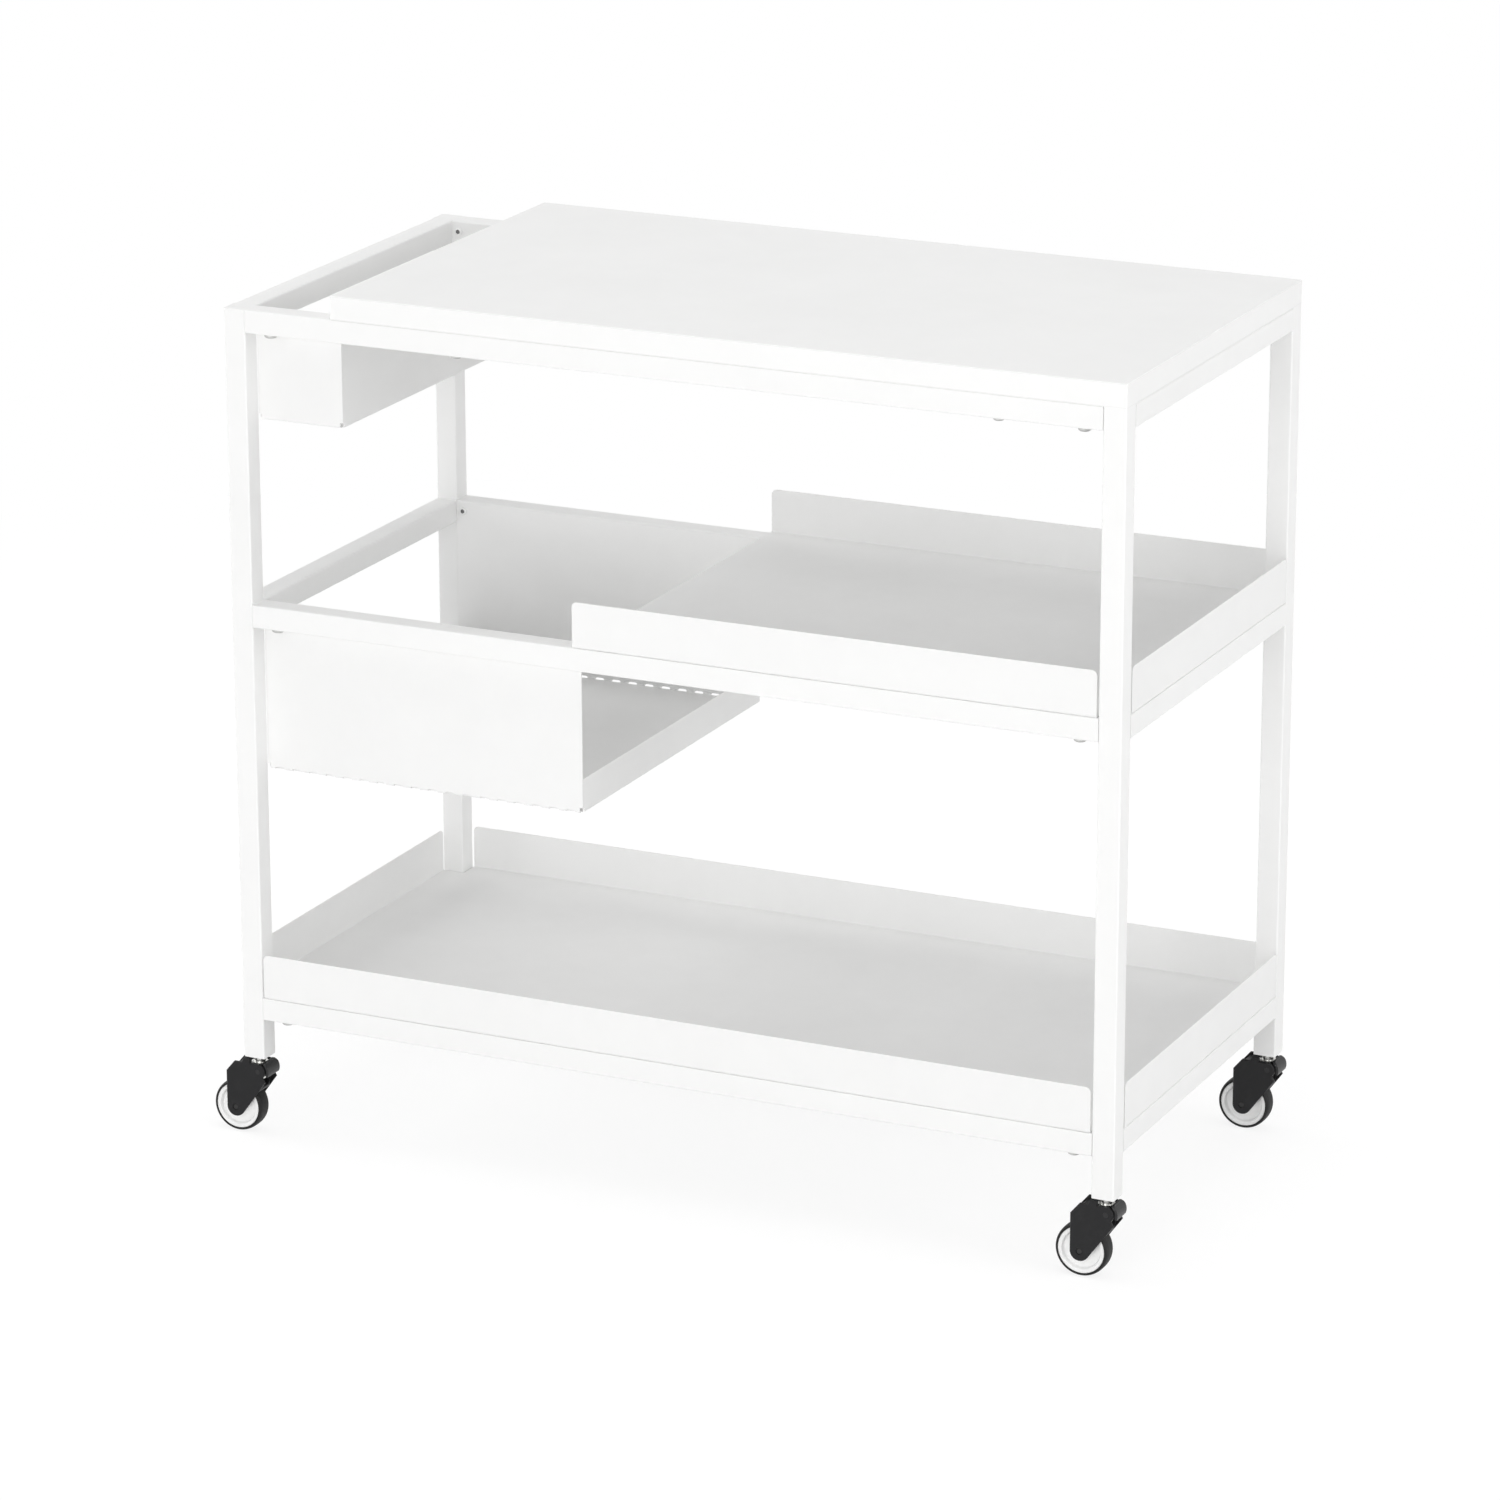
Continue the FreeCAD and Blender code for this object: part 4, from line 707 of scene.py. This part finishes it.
class CART_OT_finish_casters(bpy.types.Operator):
    """Finishes the hoods, brake levers, stems, axles and stem sockets of the casters"""

    bl_idname = "cart.finish_casters"
    bl_label = "Finish the casters"

    def execute(self, context):
        """Black plastic with a fine grain, bright zinc on the stems and a black finish on the axles."""
        colours = context.scene.cart_colours
        grain = ready(moulded_grain)
        plate = ready(plated_skin)
        hood = skin_material(
            "black_moulded_hood",
            grain,
            bump=0.35,
            distance=0.0002,
            fixed={"Specular IOR Level": 0.22},
            Color=opaque(colours.hood),
            Rubbed=(0.03, 0.03, 0.031, 1),
            Grain_Scale=1500.0,
            Roughness=0.42,
            Rub=0.5,
        )[0]
        lever = skin_material(
            "black_moulded_lever",
            grain,
            bump=0.3,
            distance=0.0002,
            fixed={"Specular IOR Level": 0.32},
            Color=opaque(colours.lever),
            Rubbed=(0.04, 0.04, 0.042, 1),
            Grain_Scale=1900.0,
            Roughness=0.36,
            Rub=0.6,
        )[0]
        socket = skin_material(
            "black_stem_socket",
            grain,
            bump=0.2,
            distance=0.0002,
            fixed={"Specular IOR Level": 0.4},
            Color=opaque(colours.socket),
            Rubbed=(0.09, 0.09, 0.09, 1),
            Grain_Scale=1100.0,
            Roughness=0.5,
            Rub=0.4,
        )[0]
        ring_pitch = 0.6 * MM
        turned_steel = (
            ("bright_zinc_stem", "caster_stem", 2, colours.zinc, 0.2),
            ("blackened_axle", "caster_axle", 1, colours.axle, 0.42),
        )
        for name, node, axis, tone, roughness in turned_steel:
            zinc, tree, skin, _ = skin_material(
                name,
                plate,
                bump=0.1,
                distance=0.0001,
                fixed={"Metallic": 1.0},
                Color=opaque(tone),
                Ring_Scale=2 * math.pi / ring_pitch,
                Roughness=roughness,
            )
            tree.links.new(object_axis(tree, axis), skin.inputs["Rings"])
            cover([f"{node}_{corner}" for corner in CORNERS], zinc)
        cover([f"caster_hood_{corner}" for corner in CORNERS], hood)
        cover([f"brake_lever_{corner}" for corner in CORNERS], lever)
        cover([f"stem_socket_{corner}" for corner in CORNERS], socket)
        return {"FINISHED"}


class CART_OT_turn_wheels(bpy.types.Operator):
    """Makes the four wheel discs and the four tyres"""

    bl_idname = "cart.turn_wheels"
    bl_label = "Turn the wheels"

    def disc_profile(self, sizes):
        """The closed outline of a disc: bore, hub, a dished web, and a rim with rounded edges.

        Across the hollow the half width is web + (hub - bevel - web) c^3, with c = 1 - s and s running from
        0 at the hub to 1 at the foot of the rim, so the web falls fast from the hub and then lies nearly
        flat, and a last short cosine step lifts it to the rim, whose edges are quarter circles.
        """
        hub_half, bevel, step, soft = 9.7 * MM, 0.5 * MM, 1.6 * MM, 0.7 * MM
        bore, hub, dish = sizes.axle_bore / 2, sizes.disc_hub / 2, sizes.disc_dish / 2
        rim = sizes.disc_rim / 2
        web, edge = sizes.web_width / 2, sizes.rim_width / 2
        s = np.linspace(0, 1, 22)
        r = hub + (dish - step - hub) * s
        half = web + (hub_half - bevel - web) * (1 - s) ** 3
        t = np.linspace(0, 1, 9)[1:]
        lift_r = dish - step + step * t
        lift = web + (edge - web) * (1 - np.cos(np.pi * t)) / 2
        turn = np.linspace(0, np.pi / 2, 6)[1:]
        edge_r = rim - soft + soft * np.sin(turn)
        edge_half = edge - soft + soft * np.cos(turn)
        side_r = np.concatenate([[bore, hub - bevel], r, lift_r, [rim - soft], edge_r])
        side = np.concatenate([[hub_half, hub_half], half, lift, [edge], edge_half])
        upper = np.stack([side, side_r], axis=-1)
        lower = np.stack([-side[::-1], side_r[::-1]], axis=-1)
        return np.concatenate([upper, lower])

    def tyre_profile(self, sizes, radius):
        """The closed outline of a tyre: a half superellipse over the rim.

        With t from 0 to 180 degrees the half width is w |cos t|^p, signed, and the rise over the rim is
        h |sin t|^p, where p is two over the superellipse's exponent. Each of two shallow mould grooves,
        where the tread meets its shoulders, takes d exp(-((x - g) / s)^2) off the rise, with x the share of
        the half width, d the groove's depth, g its place and s its spread.
        """
        t = np.linspace(0, np.pi, 61)
        exponent = 3.2
        power = 2 / exponent
        groove_place, groove_spread, groove_depth = 0.62, 0.035, 0.16 * MM
        half, rim = sizes.tread_width / 2, sizes.disc_rim / 2
        along = half * np.sign(np.cos(t)) * np.abs(np.cos(t)) ** power
        rise = (radius - rim) * np.abs(np.sin(t)) ** power
        for groove in (-groove_place, groove_place):
            rise -= groove_depth * np.exp(-(((along / half - groove) / groove_spread) ** 2))
        return np.stack([along, rim + np.maximum(rise, 0.0)], axis=-1)

    def execute(self, context):
        """A disc and a tyre for each caster, on the axle of the frame's own wheel."""
        colours, sizes = context.scene.cart_colours, context.scene.cart_sizes
        grain = ready(moulded_grain)
        plastic = skin_material(
            "white_moulded_disc",
            grain,
            bump=0.12,
            distance=0.0002,
            fixed={"Specular IOR Level": 0.5},
            Color=opaque(colours.disc),
            Rubbed=(0.84, 0.84, 0.835, 1),
            Grain_Scale=1300.0,
            Roughness=0.36,
            Rub=0.5,
            Hollow_Shade=0.975,
        )[0]
        rubber, tree, skin, shader = skin_material(
            "black_tyre_rubber",
            grain,
            bump=0.3,
            distance=0.0002,
            fixed={"Specular IOR Level": 0.24},
            Color=opaque(colours.tyre),
            Rubbed=(0.034, 0.033, 0.032, 1),
            Grain_Scale=900.0,
            Roughness=0.56,
            Rub=0.7,
        )
        line_pitch, line_share = 1.1 * MM, 0.25
        lines = calc(tree, "SINE", calc(tree, "MULTIPLY", profile_length(tree), 2 * math.pi / line_pitch))
        height = calc(tree, "MULTIPLY_ADD", lines, line_share, skin.outputs["Height"])
        relief = shader.inputs["Normal"].links[0].from_node
        tree.links.new(height, relief.inputs["Height"])
        for corner in CORNERS:
            low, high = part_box(f"caster_tyre_{corner}")
            centre, radius = (low + high) / 2, (high.z - low.z) / 2
            to_axle = Matrix.Translation(centre) @ Matrix.Rotation(math.radians(90), 4, "X")
            disc = moved(turned(self.disc_profile(sizes), True, 120), to_axle)
            tyre = moved(turned(self.tyre_profile(sizes, radius), True, 144), to_axle)
            body = f"wheel_{corner}"
            new_piece(f"wheel_disc_{corner}", [disc], plastic, body, f"caster_wheel_{corner}")
            new_piece(f"tyre_{corner}", [tyre], rubber, body, f"caster_tyre_{corner}")
        return {"FINISHED"}


class CART_OT_set_stage(bpy.types.Operator):
    """Sets the floor, the light and the camera"""

    bl_idname = "cart.set_stage"
    bl_label = "Set the stage"

    def floor(self, studio):
        """A pale floor that shows white to the camera and in reflections, with a faint shadow of the cart.

        What bounces light is the plain paint. What is seen is a thin diffuse film over a glow, and it fades
        to full white between the near and the far reach.
        """
        half = studio.floor_size
        mesh = bpy.data.meshes.new("studio_floor")
        corners = np.array([(-half, -half, 0), (half, -half, 0), (half, half, 0), (-half, half, 0)])
        mesh.from_pydata(corners.tolist(), [], [(0, 1, 2, 3)])
        floor = bpy.data.objects.new("studio_floor", mesh)
        bpy.context.scene.collection.objects.link(floor)
        material = bpy.data.materials.new("pale_floor")
        material.use_nodes = True
        tree = material.node_tree
        tree.nodes.clear()
        paint, thin, glow = 0.88, 0.2, 0.83
        near_reach, far_reach = 0.8, 2.4
        white = (1, 1, 1, 1)
        place = put(tree, "ShaderNodeTexCoord").outputs["Object"]
        reach = put(tree, "ShaderNodeVectorMath", {"operation": "LENGTH"}, Vector=place).outputs["Value"]
        coat = put(tree, "ShaderNodeBsdfDiffuse", Color=opaque([paint] * 3)).outputs[0]
        film = put(tree, "ShaderNodeBsdfDiffuse", Color=opaque([thin] * 3)).outputs[0]
        light = put(tree, "ShaderNodeEmission", Color=white, Strength=glow).outputs[0]
        near = put(tree, "ShaderNodeAddShader", in_0=film, in_1=light).outputs[0]
        far = put(tree, "ShaderNodeEmission", Color=white, Strength=1.0).outputs[0]
        fade = remap(tree, reach, near_reach, far_reach)
        shown = put(tree, "ShaderNodeMixShader", in_0=fade, in_1=near, in_2=far).outputs[0]
        mixed = put(tree, "ShaderNodeMixShader", in_0=self.seen(tree), in_1=coat, in_2=shown).outputs[0]
        put(tree, "ShaderNodeOutputMaterial", Surface=mixed)
        mesh.materials.append(material)

    def seen(self, tree):
        """1 for what the camera, a reflection or a transmission sees, and 0 for light that bounces."""
        path = put(tree, "ShaderNodeLightPath").outputs
        both = calc(tree, "MAXIMUM", path["Is Camera Ray"], path["Is Glossy Ray"])
        return calc(tree, "MAXIMUM", both, path["Is Transmission Ray"])

    def sky(self, studio):
        """Even light from all round, behind a white background."""
        world = bpy.data.worlds.new("studio_white")
        bpy.context.scene.world = world
        world.use_nodes = True
        tree = world.node_tree
        tree.nodes.clear()
        light = put(tree, "ShaderNodeBackground", Color=(1, 1, 1, 1), Strength=studio.ambient).outputs[0]
        white = put(tree, "ShaderNodeBackground", Color=(1, 1, 1, 1), Strength=1.0).outputs[0]
        mixed = put(tree, "ShaderNodeMixShader", in_0=self.seen(tree), in_1=light, in_2=white).outputs[0]
        put(tree, "ShaderNodeOutputWorld", Surface=mixed)

    def softbox(self, name, direction, distance, size, level, glossy=True):
        """A square lamp whose light, straight on, adds the level to a white surface at the cart.

        Its power is the level times pi squared times the square of its distance. No lamp is in the picture
        itself, and one that isn't glossy is left out of reflections too.
        """
        lamp = bpy.data.lights.new(name, "AREA")
        lamp.shape = "SQUARE"
        lamp.size = size
        lamp.energy = level * math.pi ** 2 * distance ** 2
        holder = bpy.data.objects.new(name, lamp)
        bpy.context.scene.collection.objects.link(holder)
        holder.visible_camera = False
        holder.visible_glossy = glossy
        towards = Vector(direction).normalized()
        holder.location = Vector(LAMP_AIM) + towards * distance
        holder.rotation_euler = towards.to_track_quat("Z", "Y").to_euler()

    def camera(self, studio):
        """The camera at the photograph's place and angle, looking down without a shift."""
        camera = bpy.data.cameras.new("studio_camera")
        camera.sensor_width = 36.0
        camera.lens = studio.lens
        camera.clip_end = 5 * studio.floor_size
        holder = bpy.data.objects.new("studio_camera", camera)
        bpy.context.scene.collection.objects.link(holder)
        holder.location = studio.place
        turn = (
            Matrix.Rotation(studio.yaw, 3, "Z")
            @ Matrix.Rotation(math.pi / 2 - studio.pitch, 3, "X")
            @ Matrix.Rotation(studio.roll, 3, "Z")
        )
        holder.rotation_euler = turn.to_euler()
        bpy.context.scene.camera = holder

    def execute(self, context):
        """Floor, even light, large lamps in front, at both sides, behind and above, and the camera."""
        studio = context.scene.cart_studio
        self.floor(studio)
        self.sky(studio)
        self.softbox("front_softbox", (0.05, -1, 0.12), distance=4.5, size=2.6, level=0.455)
        self.softbox("right_softbox", (1, -0.1, 0.25), distance=4.0, size=2.2, level=0.31)
        self.softbox("left_softbox", (-1, 0, 0.3), distance=4.0, size=2.2, level=0.33)
        self.softbox("back_softbox", (-0.2, 1, 0.12), distance=4.5, size=2.6, level=0.2, glossy=False)
        self.softbox("top_softbox", (0.05, -0.05, 1), distance=3.5, size=2.6, level=0.3)
        self.camera(studio)
        context.scene.view_settings.view_transform = "Standard"
        return {"FINISHED"}


class CART_PT_maker(bpy.types.Panel):
    """The cart's sizes, colours and steps"""

    bl_idname = "CART_PT_maker"
    bl_label = "Rolling kitchen cart"
    bl_space_type = "VIEW_3D"
    bl_region_type = "UI"
    bl_category = "Cart"

    def draw(self, context):
        """Lists every step, and below them what a user may change."""
        column = self.layout.column(align=True)
        for step in STEPS:
            column.operator(step.bl_idname)
        for settings in (context.scene.cart_sizes, context.scene.cart_colours, context.scene.cart_studio):
            part = self.layout.box().column(align=True)
            for name in settings.__annotations__:
                part.prop(settings, name)


STEPS = (
    CART_OT_coat_frame,
    CART_OT_coat_trays,
    CART_OT_finish_worktop,
    CART_OT_fit_screws,
    CART_OT_finish_casters,
    CART_OT_turn_wheels,
    CART_OT_set_stage,
)
CLASSES = (CartColours, CartSizes, CartStudio, *STEPS, CART_PT_maker)


def register():
    """Adds the settings, the steps and the panel."""
    for kind in CLASSES:
        bpy.utils.register_class(kind)
    bpy.types.Scene.cart_colours = bpy.props.PointerProperty(type=CartColours)
    bpy.types.Scene.cart_sizes = bpy.props.PointerProperty(type=CartSizes)
    bpy.types.Scene.cart_studio = bpy.props.PointerProperty(type=CartStudio)


def unregister():
    """Takes out the settings, the steps and the panel."""
    del bpy.types.Scene.cart_studio
    del bpy.types.Scene.cart_sizes
    del bpy.types.Scene.cart_colours
    for kind in reversed(CLASSES):
        bpy.utils.unregister_class(kind)


def main():
    """Registers the add-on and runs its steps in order."""
    register()
    bpy.ops.cart.coat_frame()
    bpy.ops.cart.coat_trays()
    bpy.ops.cart.finish_worktop()
    bpy.ops.cart.fit_screws()
    bpy.ops.cart.finish_casters()
    bpy.ops.cart.turn_wheels()
    bpy.ops.cart.set_stage()


if __name__ == "__main__":
    main()
